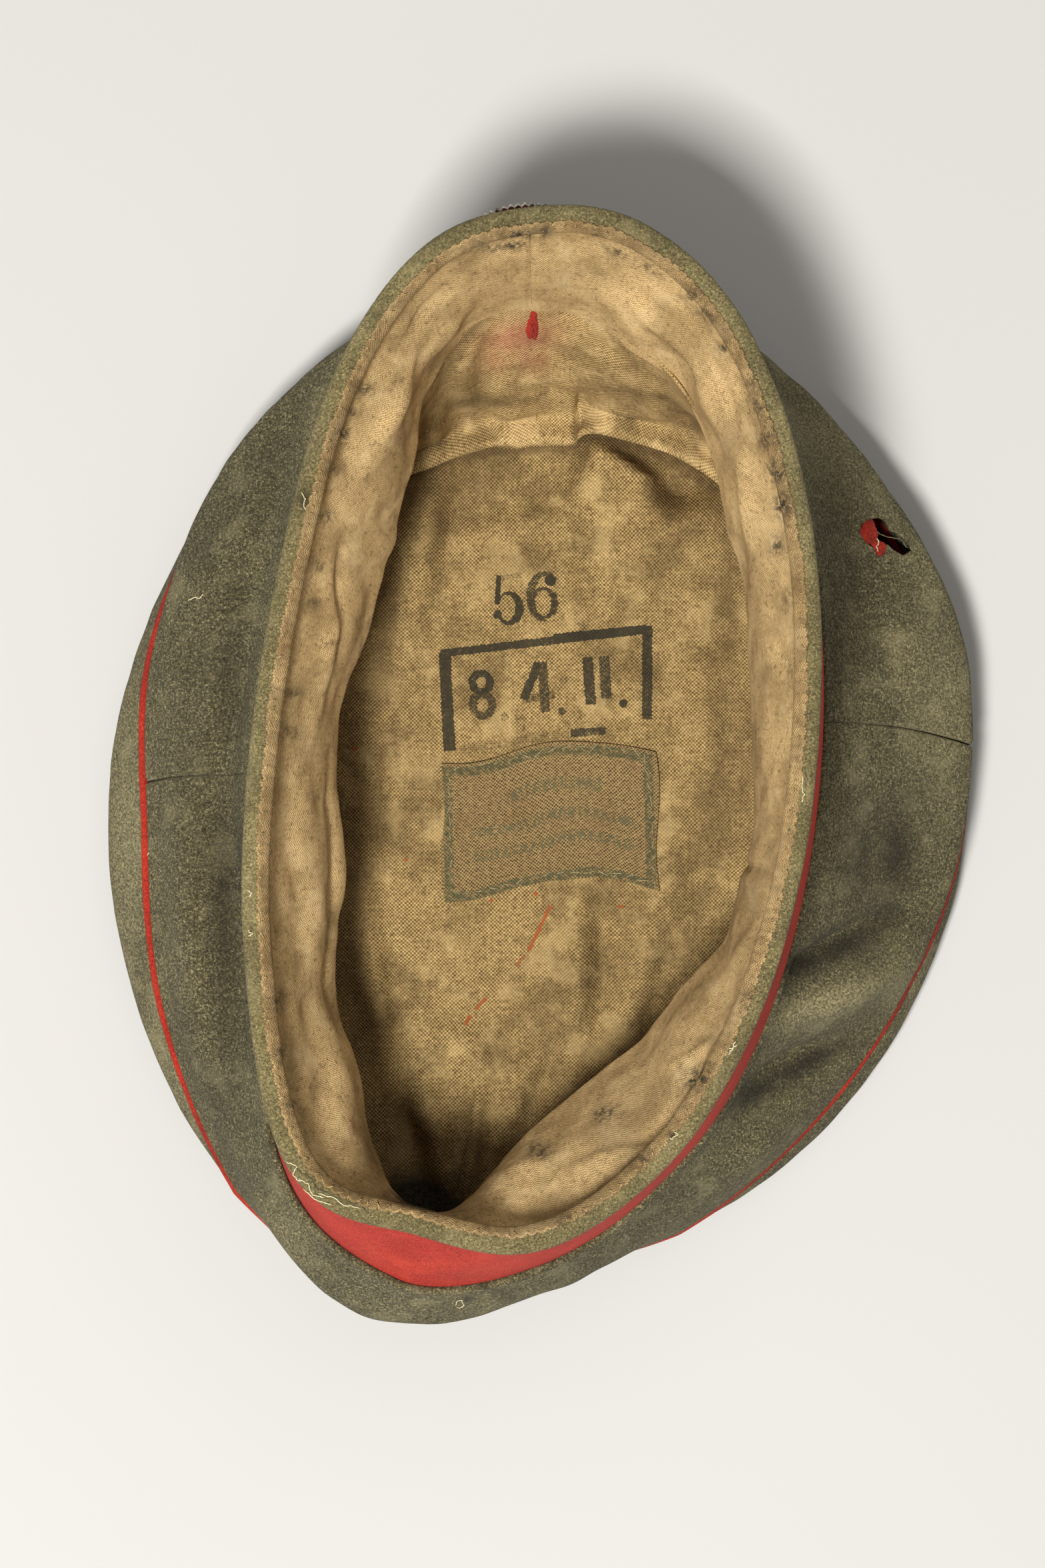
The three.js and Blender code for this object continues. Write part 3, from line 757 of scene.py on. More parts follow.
# The label's cloth: fine cotton with a printed border and three rows too faded to read,
# each row its middle, half length and half height.
labelSize = {
    "width": 50, "length": 32, "pitch": 0.8, "border": 1.7, "borderWidth": 1.7,
    "rows": [(6.0, 11.5, 1.9), (-1.0, 19.5, 1.5), (-6.6, 19.5, 1.5)], "rowsAside": 1.0,
}


def labelPaint():
    place = clothPlace()
    across, down = coordinates(place)
    streaks = noiseAt(stretched(place, (0.9, 1.8, 1)), 1.0, 4.0, 0.75)
    shade = streaks * 0.65 + weave(place, labelSize["pitch"]) * 0.35
    frayed = vectors("MULTIPLY_ADD", noiseAt(place, 1.2, output=1), (0.8, 0.8, 0), place)
    sides = coordinates(vectors("ABSOLUTE", frayed))
    fromEdge = maths("MINIMUM", labelSize["width"] / 2 - sides[0],
                     labelSize["length"] / 2 - sides[1])
    away = maths("ABSOLUTE", fromEdge - labelSize["border"])
    border = between(away, labelSize["borderWidth"] / 2, labelSize["borderWidth"] / 2 + 0.5,
                     1.0, 0.0)
    rows = 0.0
    for middle, reach, tall in labelSize["rows"]:
        off = maths("ABSOLUTE", down - middle)
        over = maths("ABSOLUTE", across - labelSize["rowsAside"])
        row = (between(off, tall * 0.6, tall, 1.0, 0.0)
               * between(over, reach - 1.5, reach, 1.0, 0.0))
        rows = maths("MAXIMUM", row, rows)
    faded = patches(stretched(place, (1.0, 0.45, 1)), 1.25, 2.0, 0.6, 0.46, 0.54)
    tones = layered(tone(50, 40, 22), [
        (between(shade, 0.36, 0.60), tone(146, 120, 76)),
        (patches(place, 0.12, 4.0, 0.65, 0.45, 0.75) * 0.4, tone(98, 72, 44)),
        (border * patches(place, 0.8, 3.0, 0.75, 0.38, 0.60, 0.15, 0.85), tone(58, 62, 40)),
        (rows * faded * 0.6, tone(70, 72, 50))])
    return tones, shade, between(shade, 0.2, 0.8, 0.95, 0.85)


def threadPaint(first, second):
    def paint():
        twist = noiseAt(stretched(solidPlace(), (2.2, 2.2, 2.2)), 1.2, 2.0, 0.6)
        tones = layered(first, [(between(twist, 0.35, 0.65), second)])
        return tones, twist, between(twist, 0.2, 0.8, 0.9, 0.75)
    return paint


def metalPaint(light, worn, scratched):
    def paint():
        place = solidPlace()
        scratch = noiseAt(stretched(place, (0.6, 2.4, 1.2)), 1.6, 4.0, 0.7)
        cloud = noiseAt(place, 0.35, 4.0, 0.65)
        tones = layered(light, [(between(cloud, 0.42, 0.68), worn),
                                (between(scratch, 0.62, 0.72, 0.0, 0.5), scratched)])
        return tones, scratch, between(cloud, 0.3, 0.7, 0.32, 0.6)
    return paint


fieldWool = newFinish("fieldWool", woolPaint(
    tone(30, 26, 13), tone(82, 75, 47), tone(172, 161, 118)), 0.6, sheen=0.03)
rimWool = newFinish("rimWool", woolPaint(
    tone(50, 44, 24), tone(104, 93, 57), tone(168, 153, 106), 1.9), 0.45, sheen=0.03)
redWool = newFinish("redWool", woolPaint(
    tone(96, 14, 8), tone(186, 40, 22), tone(212, 72, 46), 2.0), 0.3, sheen=0.02)
fineDrill = newFinish("fineDrill", weavePaint(
    tone(112, 88, 50), tone(194, 161, 108), tone(230, 201, 149), 0.62), 0.25)
# The side lining's linen: the crown lining's coarse linen in lighter tones, painted light on the
# side lining
litCoarseLinen = newFinish("litCoarseLinen", weavePaint(
    tone(80, 62, 32), tone(166, 137, 86), tone(228, 196, 138), 0.86), 0.35)
linenTones = (tone(62, 47, 22), tone(142, 116, 70), tone(202, 172, 116))
stainedLinen = newFinish("stainedLinen", weavePaint(
    *linenTones, 0.86, rustStrokes, tone(146, 74, 36)), 0.35)
printedLinen = newFinish("printedLinen", weavePaint(
    *linenTones, 0.86, inkStrokes, tone(38, 36, 26)), 0.35)
labelCotton = newFinish("labelCotton", labelPaint, 0.1)
tanThread, creamThread, paleThread, darkThread = (
    newFinish(name, threadPaint(first, second), 0.05) for name, first, second in (
        ("tanThread", tone(112, 90, 54), tone(178, 150, 102)),
        ("creamThread", tone(196, 180, 134), tone(232, 220, 184)),
        ("paleThread", tone(104, 96, 66), tone(160, 148, 108)),
        ("darkThread", tone(70, 64, 44), tone(112, 104, 76))))
silverMetal = newFinish("silverMetal", metalPaint(
    tone(196, 194, 184), tone(120, 112, 92), tone(60, 56, 46)), 0.03, metal=1.0, specular=0.5)
blackLacquer = newFinish("blackLacquer", metalPaint(
    tone(22, 22, 22), tone(44, 40, 34), tone(150, 146, 132)), 0.03, specular=0.5)
print("materials made")

turns = np.arange(around) / around

# The crown's outer cloth, that rolls up to the piping

crownCloth = {
    "rollLines": 26, "flatLines": 7, "flatFrom": 0.93, "flatTo": 0.06, "offPiping": 0.9,
    "uneven": [(14, 3, 0.35), (5, 4, 0.15)],
    # pale marks: painted highlight on the lit roll of the crown at the left
    "pale": [(190, 1240, 40, 260, 0.5), (240, 1560, 30, 120, 0.5)],
}


def makeCrownCloth():
    piping, edge, contact = pipingLine(turns), discEdge(turns), contactRing(turns)
    start = towards(piping, edge, sizes["piping"] / 2 + crownCloth["offPiping"])
    roll = smoothRows([start, edge, contact], crownCloth["rollLines"])
    hold = np.sin(np.pi * np.minimum(levelsOf(roll) * 1.25, 1)) ** 0.7
    push = unevenOn(roll, crownCloth["uneven"]) * hold
    roll += outward(crownRing, turns)[:, None] * push[..., None]
    roll[..., 2] = np.maximum(roll[..., 2], sizes["wool"] / 2)
    parts = np.linspace(crownCloth["flatFrom"], crownCloth["flatTo"], crownCloth["flatLines"])
    flat = withHeight(contact[:, None] * parts[:, None], sizes["wool"] / 2)
    shell = clothShell(np.concatenate([roll, flat], 1), sizes["wool"], hub=True)
    addCloth("crownCloth", shell, fieldWool, "crown_disc",
             wearAndPaintedLight(shell[0], crownCloth, "pale"))


makeCrownCloth()

# The red piping between the crown and the side panels

pipingCord = {
    "sides": 12, "uneven": [(6, 8, 0.10)], "grime": (20, 9, 0.4), "darkest": 0.95,
    # darker at these places of the picture; the grime blots are dirt
    "soilAndShade": [
        (1380, 1470, 90, 200, 0.7, 30), (1180, 1750, 160, 70, 0.7, -40),
        (240, 1200, 40, 500, 0.45), (300, 1700, 44, 110, 0.6, -14), (250, 860, 30, 60, 0.5, 20),
        (1466, 1140, 16, 90, 0.5),
    ],
}


def makePiping():
    line = pipingLine(turns)
    radius = sizes["piping"] / 2 * (1 + unevenOn(line, pipingCord["uneven"]))
    points, faces = tubeParts(line, radius, pipingCord["sides"], closed=True)
    soilAndShade = marksOn(points, pipingCord["soilAndShade"]) + blotsOn(points, *pipingCord["grime"])
    marks = {"soilAndShade": np.minimum(soilAndShade, pipingCord["darkest"])}
    addPiece("redPiping", madeMesh("redPiping", points, faces, marks=marks), redWool,
             ["crown_piping"])


makePiping()

# The side panels

sidePanels = {
    "lines": 48,
    # sixteen stations from the cap's right through its front: how far the wool turns up
    # over the band and stands off it, and how far it hangs out over the piping
    "lipUp": [0.4, 0.4, 0.4, 0.4, 0.4, 0.4, 0.4, 0.4, 0.5, 1.2, 2.4, 2.6, 1.6, 0.8, 0.5, 0.4],
    "lipOut": [1.0, 1.0, 1.0, 1.0, 1.0, 1.0, 1.0, 1.0, 1.0, 1.2, 2.1, 2.2, 1.9, 1.3, 1.0, 1.0],
    "overhang": [3.0, 6.0, 7.0, 7.0, 7.0, 7.0, 5.5, 1.0, 0.0, 0.0, 0.0, 0.0, 0.0, 0.2, 0.6, 1.3],
    "shoulderDown": 2.4, "shoulderOut": 0.4, "hipUp": 5.0, "hipLift": 0.15, "footUp": 1.0,
    # where the seams lie at the band and at the piping, as turns, and how far that is felt
    "seams": [(sizes["seamRight"], 0.054, 0.026), (sizes["seamLeft"], 0.470, 0.484)],
    "seamReach": 0.06,
    "edgeRoom": 1.05,                          # what each rounded edge keeps from its seam
    "uneven": [(19, 21, 0.7), (7, 22, 0.3)],
    "folds": [
        (0.060, 0.020, 2.0, 0.5, 0.35, 0), (0.400, 0.022, -1.8, 0.4, 0.35, 0),
        (0.540, 0.025, 1.2, 0.6, 0.35, 0), (0.560, 0.006, 0.5, 0.6, 0.35, 0.02),
        (0.520, 0.005, -0.5, 0.5, 0.35, -0.02), (0.610, 0.008, 0.7, 0.5, 0.35, 0.03),
        (0.700, 0.010, -0.7, 0.6, 0.35, 0.02), (0.760, 0.008, 0.6, 0.6, 0.35, -0.02),
        (0.120, 0.008, 0.6, 0.5, 0.35, 0.02), (0.160, 0.006, -0.5, 0.6, 0.35, 0.01),
        (0.440, 0.007, 0.5, 0.5, 0.35, 0.02),
    ],
    # hollows and ridges by the picture: across, down, half sizes, turn, rise
    "hollows": [
        (1258, 1420, 100, 24, -29, -7.0), (1200, 1452, 46, 20, -20, -3.0),
        (1330, 1280, 50, 90, 0, -3.5), (1270, 1482, 110, 24, -25, 4.5),
        (1195, 1600, 120, 24, -29, -6.5), (1130, 1720, 90, 26, -36, 2.5),
        (340, 1380, 34, 230, -4, -7.5), (352, 1020, 28, 160, 6, -5.0),
        (286, 1400, 16, 150, -6, 1.5), (296, 1560, 16, 90, -14, 1.6),
        (420, 640, 20, 70, 40, -2.5), (1090, 520, 20, 60, -40, -2.0),
        (410, 760, 26, 120, 14, -2.5), (262, 1180, 24, 160, -2, 1.2),
        (1290, 900, 30, 130, -14, -1.8), (1370, 980, 34, 120, -10, 1.2),
        (1180, 700, 26, 90, -26, -1.6), (300, 860, 18, 90, 24, 1.2),
        (330, 930, 16, 80, 24, -1.2),
    ],
    # painted highlights on the wool's ridges and lit slopes, most at the right
    "pale": [
        (1250, 1500, 110, 24, 0.8, -22), (1265, 1690, 90, 28, 0.3, -36),
        (1410, 1060, 50, 160, 0.4), (1180, 1790, 80, 30, 0.6, -34), (1350, 1480, 40, 50, 0.5),
        (760, 1960, 90, 20, 0.35), (1400, 900, 30, 160, 0.3), (1250, 1700, 90, 20, 0.4, -40),
        (430, 1850, 60, 20, 0.3, 45), (1240, 660, 60, 110, 0.5, -30),
        (1200, 540, 40, 60, 0.4, -40),
    ],
    # painted shade in the hollows at the lower right and in the dark strip beside the rim at the
    # left, with a few small dark spots at the front
    "soilAndShade": [
        (765, 1945, 22, 12, 0.5), (703, 1948, 8, 6, 0.9), (725, 1930, 8, 6, 0.8),
        (1206, 1446, 60, 20, 1.0, -16), (1262, 1420, 86, 22, 1.0, -29),
        (1330, 1370, 40, 26, 0.9, -40), (1290, 1290, 40, 80, 0.5), (1345, 1285, 34, 80, 1.0),
        (1210, 1594, 90, 19, 1.0, -29), (1130, 1640, 60, 20, 1.0, -30),
        (340, 1380, 34, 260, 0.75), (345, 1000, 28, 190, 0.55, 4), (400, 740, 24, 100, 0.4, 16),
        (300, 1150, 60, 330, 0.38), (330, 800, 60, 120, 0.3, 30),
        (300, 1600, 50, 120, 0.3, -14),
    ],
}


def seamShift(turn, level):
    total = 0.0
    for nominal, atBand, atPiping in sidePanels["seams"]:
        away = turn - nominal
        away = away - np.round(away)
        moved = atBand + (atPiping - atBand) * level - nominal
        total = total + moved * bell(away / sidePanels["seamReach"])
    return total


def panelGrid():
    turn = np.arange(2 * around) / (2 * around)
    top, bulge, piping = waist(turn), panelBulge(turn), pipingLine(turn)
    out, rimOut = outward(crownRing, turn), outward(mouthRing, turn)
    lip = towards(top, besideRim(turn, -sizes["bandInset"], -underRim),
                  share(sidePanels["lipUp"], turn))
    lip = lip + rimOut * share(sidePanels["lipOut"], turn)[:, None]
    shoulder = towards(top, bulge, sidePanels["shoulderDown"])
    shoulder += rimOut * sidePanels["shoulderOut"]
    overhang = np.maximum(0, share(sidePanels["overhang"], turn))
    hip = towards(piping, bulge, sidePanels["hipUp"]) + out * overhang[:, None]
    hip[:, 2] += sidePanels["hipLift"] * overhang
    foot = towards(piping, hip, sizes["piping"] / 2 + sidePanels["footUp"])
    rows = smoothRows([lip, shoulder, bulge, hip, foot], sidePanels["lines"])
    level = levelsOf(rows)
    push = (foldPush(turn[:, None], level, sidePanels["folds"])
            + picturePush(rows, sidePanels["hollows"]) + unevenOn(rows, sidePanels["uneven"]))
    hold = np.sin(np.pi * level) ** 0.6
    rows -= gridNormals(rows, True) * (hold * push)[..., None]
    return rows


wholePanel = panelGrid()


def panelRows(turn):
    count, lines = wholePanel.shape[:2]
    place = turn[:, None] + seamShift(turn[:, None], levelsOf(wholePanel))
    place = np.mod(place, 1.0) * count
    low = np.floor(place).astype(int)
    part = (place - low)[..., None]
    line = np.arange(lines)[None, :]
    before, after = wholePanel[low % count, line], wholePanel[(low + 1) % count, line]
    return before * (1 - part) + after * part


# From seam to seam, each given as a turn.
def makeSidePanel(name, node, start, end):
    spare = sidePanels["edgeRoom"] / (2 * math.pi * sizes["crownHalf"][0])
    turn = np.linspace(start + spare, end - spare, int(around * (end - start)))
    shell = clothShell(panelRows(turn), sizes["wool"], ring=False)
    return addCloth(name, shell, fieldWool, node,
                    wearAndPaintedLight(shell[0], sidePanels, "pale", "soilAndShade"))


right, left = sizes["seamRight"], sizes["seamLeft"]
frontPanel = makeSidePanel("frontPanel", "side_panel_front", right, left)
makeSidePanel("backPanel", "side_panel_back", left, 1 + right)
print("crown, piping and side panels made")

# The red band

redBand = {
    "lines": 20, "topUp": 0.8, "lowUp": 0.6,
    "uneven": [(15, 31, 0.245), (5, 32, 0.105)], "grime": (14, 33, 0.3),
    # painted light on the red at the right, which lies in the rim's shade, and worn lighter
    # patches on the red at the front
    "pale": [
        (1215, 1250, 40, 420, 0.5, 8), (1090, 1650, 60, 200, 0.5, 38), (640, 1900, 60, 12, 0.4),
        (560, 1880, 30, 20, 0.5, 40), (720, 1905, 60, 10, 0.4, -6),
    ],
}


def makeBand():
    top = besideRim(turns, -sizes["bandInset"], -underRim + redBand["topUp"])
    low = towards(waist(turns), top, redBand["lowUp"])
    rows = smoothRows([top, (top + low) / 2, low], redBand["lines"])
    push = unevenOn(rows, redBand["uneven"]) * np.sin(np.pi * levelsOf(rows))
    rows += outward(mouthRing, turns)[:, None] * push[..., None]
    shell = clothShell(rows, sizes["wool"])
    marks = wearAndPaintedLight(shell[0], redBand, "pale")
    marks["soilAndShade"] = blotsOn(shell[0], *redBand["grime"])
    addCloth("redBand", shell, redWool, "band", marks)


makeBand()

# The turned wool edge round the mouth

rimRoll = {
    "around": 1120, "sides": 20, "squareness": 0.78, "ribs": 0.16, "stitch": 2.4,
    "wide": [(11, 41, 0.07)], "tall": [(7, 42, 0.06)], "dust": (9, 43, 0.5),
    "soilAndShade": [(458, 750, 10, 18, 1.0), (570, 475, 12, 10, 0.6), (494, 1880, 8, 8, 0.8)],
}


def makeRim():
    count, sides = rimRoll["around"], rimRoll["sides"]
    turn = np.arange(count) / count
    middle = besideRim(turn, -sizes["rimWidth"] / 2, -sizes["rimThickness"] / 2)
    steps = np.linalg.norm(np.roll(middle, -1, 0) - middle, axis=1)
    place, length = np.concatenate([[0], np.cumsum(steps)]), steps.sum()
    stitches = round(length / rimRoll["stitch"])
    pull = np.abs(np.sin(np.pi * stitches * place[:-1] / length))    # 0 at each hem stitch
    angle = 2 * np.pi * np.arange(sides) / sides
    wide, tall = (np.sign(side) * np.abs(side) ** rimRoll["squareness"]
                  for side in (np.cos(angle), np.sin(angle)))
    halfWide = sizes["rimWidth"] / 2 * (1 + unevenOn(middle, rimRoll["wide"])[:, None])
    halfTall = sizes["rimThickness"] / 2 * (1 + unevenOn(middle, rimRoll["tall"])[:, None])
    ribs = rimRoll["ribs"] * (pull[:, None] - 0.6) * (0.35 + np.clip(-wide, 0, 1))
    across = wide * (halfWide + ribs)
    points = middle[:, None] + outward(mouthRing, turn)[:, None] * across[..., None]
    points[..., 2] += tall * (halfTall + ribs)
    points = points.reshape(-1, 3)
    i, j = np.meshgrid(np.arange(count), np.arange(sides), indexing="ij")
    corners = [(i, j), (i + 1, j), (i + 1, j + 1), (i, j + 1)]
    quads = np.stack([a % count * sides + b % sides for a, b in corners], -1)
    faces = [tuple(q) for q in quads.reshape(-1, 4).tolist()]
    girth = math.pi * (sizes["rimWidth"] + sizes["rimThickness"]) / 2
    uvs = np.stack([np.stack([place[a], b * girth / sides], -1) for a, b in corners], -2)
    marks = wearAndPaintedLight(points, rimRoll, "soilAndShade")
    marks["pale"] = blotsOn(points, *rimRoll["dust"])
    shell = points, faces, uvs.reshape(-1, 2)
    addCloth("rimRoll", shell, rimWool, "rim_edge", marks)
    return place[:-1], stitches, length


rimPlace, stitchCount, rimLength = makeRim()
rimTurns = np.arange(len(rimPlace)) / len(rimPlace)

# The lining band that hangs from the rim

liningBand = {
    "around": 940, "lines": 40,
    # where its folded edge lies on the rim, at sixteen stations
    "hemOut": [
        -3.6, -3.7, -3.8, -4.1, -4.2, -4.0, -3.8, -3.6, -3.7, -3.8, -4.0, -4.4, -4.1, -3.9,
        -3.7, -3.6,
    ],
    "hemDown": -0.05, "hemShade": 0.75, "hemShadeWidth": 0.11, "scallop": 0.6,
    "ragged": [(3.1, 54, 0.25)],
    # how it lies at the rim's inner edge, and just below it
    "edgeOut": 0.6, "edgeDown": 1.8, "edgeDip": 0.25, "innerDown": 3, "innerIn": 0.9,
    # the strip at the lower left, which stands in from the wall
    "strip": {"turn": 0.545, "spread": 0.055, "width": 4.5, "rise": 2.4, "level": 0.86,
              "tall": 0.045},
    "gather": [(6.25, 51, 0.7)], "gatherLevel": 0.22, "gatherTall": 0.2,
    "drape": (1, 1, 0.6), "drapes": [(14, 52, 1.14)], "wrinkles": [(5, 53, 0.36)],
    "foldShare": 0.8, "holdFrom": 0.07, "holdOver": 0.15, "sootAndShadeShare": 1.3,
    "creases": [
        (660, 505, 60, 12, -52, 2.6), (636, 470, 60, 10, -50, -2.0),
        (592, 600, 12, 70, 22, 2.2), (560, 560, 40, 10, -20, 1.4), (612, 560, 10, 60, 34, -1.6),
        (930, 430, 60, 12, 28, -1.6), (1000, 500, 80, 12, 46, 2.4),
        (1030, 470, 70, 10, 46, -1.4), (1066, 600, 12, 70, -24, 2.0),
        (1092, 600, 8, 60, -20, -1.2), (1124, 760, 9, 80, -6, 1.6),
        (1110, 1000, 10, 120, 0, -1.6), (1138, 1060, 8, 90, -4, 1.2),
        (1056, 1588, 34, 50, 62, 3.0, 2.5), (980, 1700, 60, 14, -30, -2.2),
        (905, 1745, 70, 12, -24, 2.0), (1010, 1690, 16, 16, 0, -2.4),
        (880, 1795, 34, 16, -20, -2.6), (780, 1760, 50, 14, -30, 2.0),
        (466, 1350, 16, 110, -4, 1.8), (440, 1330, 12, 110, -4, -1.0),
        (505, 1600, 16, 90, -8, 2.0), (476, 1590, 14, 90, -8, -1.2),
        (480, 1000, 10, 120, 6, 1.6), (505, 900, 8, 90, 8, -1.4), (796, 400, 4, 60, 2, -0.9),
        (1026, 1460, 20, 70, 26, 2.2, 3.0), (1110, 1440, 14, 50, 30, 1.6),
        (1130, 1300, 30, 12, 10, -1.4), (570, 820, 30, 10, -60, 1.4),
        (560, 720, 26, 9, -50, -1.2), (530, 1240, 22, 9, -70, 1.2),
    ],
    "folds": [
        (0.185, 0.012, -2.2, 0.75, 0.5, 0), (0.210, 0.010, 1.6, 0.7, 0.4, -0.04),
        (0.330, 0.012, 1.8, 0.7, 0.4, 0.03), (0.300, 0.010, -1.2, 0.7, 0.4, 0),
        (0.400, 0.020, 1.2, 0.6, 0.4, 0), (0.520, 0.030, 1.6, 0.8, 0.3, 0),
        (0.600, 0.015, -1.4, 0.6, 0.4, 0), (0.080, 0.020, 1.2, 0.6, 0.4, 0),
        (0.960, 0.016, 1.4, 0.6, 0.4, 0), (0.900, 0.012, -1.6, 0.7, 0.4, 0.03),
        (0.850, 0.016, 1.5, 0.6, 0.4, 0.02),
    ],
    "sootAndShade": [
        (770, 367, 22, 8, 0.9), (818, 347, 12, 12, 0.7), (896, 353, 12, 9, 0.6),
        (722, 364, 10, 8, 0.5), (975, 403, 18, 10, 0.6, 35), (1042, 443, 14, 14, 0.6),
        (1087, 521, 12, 12, 0.7), (1126, 572, 12, 14, 0.6), (1160, 650, 10, 22, 0.6),
        (1166, 706, 16, 20, 0.9), (1174, 757, 14, 22, 0.9), (1166, 819, 12, 18, 0.7),
        (1140, 610, 16, 24, 0.7, -20), (1150, 660, 14, 20, 0.7), (780, 352, 30, 7, 0.9),
        (740, 372, 20, 8, 0.7), (930, 378, 26, 9, 0.7, 20), (1060, 470, 20, 14, 0.6, 40),
        (1180, 900, 8, 16, 0.5), (1184, 1000, 8, 20, 0.5), (548, 583, 12, 10, 0.8),
        (530, 618, 14, 8, 0.6), (515, 650, 12, 10, 0.8), (500, 700, 14, 8, 0.6),
        (492, 774, 12, 9, 0.8), (478, 850, 14, 8, 0.6), (470, 905, 12, 9, 0.6),
        (440, 1040, 16, 12, 0.6), (430, 1100, 16, 14, 0.5), (415, 1500, 12, 16, 0.6),
        (420, 1580, 12, 14, 0.6), (436, 1660, 14, 14, 0.5), (1047, 1617, 26, 16, 0.9, -30),
        (907, 1671, 22, 14, 0.8, -20), (810, 1726, 20, 16, 0.8), (960, 1740, 24, 12, 0.6, -20),
        (1010, 1705, 6, 6, 1.0), (850, 1830, 20, 10, 0.6, -20), (1120, 1500, 12, 20, 0.6, 30),
    ],
    # painted shade: the black gap at the back left, shadows under the free edges at the left and
    # along the flap at the lower right, with a few dirt spots
    "soilAndShade": [
        (640, 480, 60, 30, 0.3, -40), (470, 1150, 26, 160, 0.15), (450, 1500, 26, 120, 0.15),
        (790, 410, 190, 40, 0.42), (960, 1700, 130, 50, 0.45, -30),
        (630, 1806, 74, 18, 1.4, 12), (560, 1740, 14, 60, 0.8, -14),
        (640, 560, 12, 70, 0.6, 26), (600, 660, 12, 60, 0.5, 12), (850, 1790, 90, 18, 0.5, -26),
        (1090, 640, 14, 60, 0.5, -20), (1130, 1330, 20, 60, 0.5, 20),
        (1046, 1560, 40, 8, 0.5, -8), (880, 1790, 50, 26, 0.6, -20), (1140, 900, 20, 160, 0.25),
        (700, 420, 50, 16, 0.3), (1010, 480, 60, 26, 0.25, 45), (500, 965, 4, 4, 1.0),
        (486, 1598, 4, 4, 0.9), (513, 1459, 4, 4, 0.9),
    ],
}


def makeLiningBand():
    count = liningBand["around"]
    turn = np.arange(count) / count
    skirtOut = outward(skirtRing, turn)
    strip = liningBand["strip"]
    there = bell((turn - strip["turn"]) / strip["spread"])
    reach = np.interp(turn, rimTurns, rimPlace)
    along = np.stack([reach, 0 * reach, 0 * reach], -1)
    wave = np.abs(np.sin(np.pi * stitchCount * reach / rimLength))      # 0 at each hem stitch
    hemOut = (share(liningBand["hemOut"], turn) + unevenOn(along, liningBand["ragged"])
              + liningBand["scallop"] * (wave - 0.5))
    hem = besideRim(turn, hemOut, liningBand["hemDown"])
    edge = besideRim(turn, -sizes["rimWidth"] - liningBand["edgeOut"],
                     -liningBand["edgeDown"] - liningBand["edgeDip"] * (1 - wave))
    inner = besideRim(turn, -sizes["liningInset"], -underRim - liningBand["innerDown"])
    inner -= outward(mouthRing, turn) * liningBand["innerIn"]
    swell = (besideRim(turn, -sizes["liningInset"], -underRim) + skirtRing(turn)) / 2
    swell -= skirtOut * sizes["liningSag"]
    low = skirtRing(turn) - skirtOut * (strip["width"] * there)[:, None]
    rows = smoothRows([hem, edge, inner, swell, low], liningBand["lines"])
    level = levelsOf(rows)
    push = (foldPush(turn[:, None], level, liningBand["folds"])
            + picturePush(rows, liningBand["creases"])
            - strip["rise"] * there[:, None] * bell((level - strip["level"]) / strip["tall"]))
    gather = (unevenOn(along, liningBand["gather"])[:, None]
              * bell((level - liningBand["gatherLevel"]) / liningBand["gatherTall"]))
    wrinkles = (unevenOn(rows * liningBand["drape"], liningBand["drapes"])
                + unevenOn(rows, liningBand["wrinkles"]))
    hold = np.clip((level - liningBand["holdFrom"]) / liningBand["holdOver"], 0, 1)
    push = hold * (liningBand["foldShare"] * push + gather + wrinkles)
    rows -= skirtOut[:, None] * push[..., None]
    shell = clothShell(rows, linen)
    down = np.maximum(0, np.linspace(-0.1, 1.1, len(shell[0]) // 2 // count))
    hemShade = liningBand["hemShade"] * bell(down / liningBand["hemShadeWidth"])
    marks = wearAndPaintedLight(shell[0], liningBand, "sootAndShade", "soilAndShade")
    marks["sootAndShade"] *= liningBand["sootAndShadeShare"]
    marks["soilAndShade"] = np.maximum(marks["soilAndShade"], np.tile(hemShade, 2 * count))
    addCloth("liningBand", shell, fineDrill, "lining_band", marks)


makeLiningBand()

# The crown lining, lying in the crown

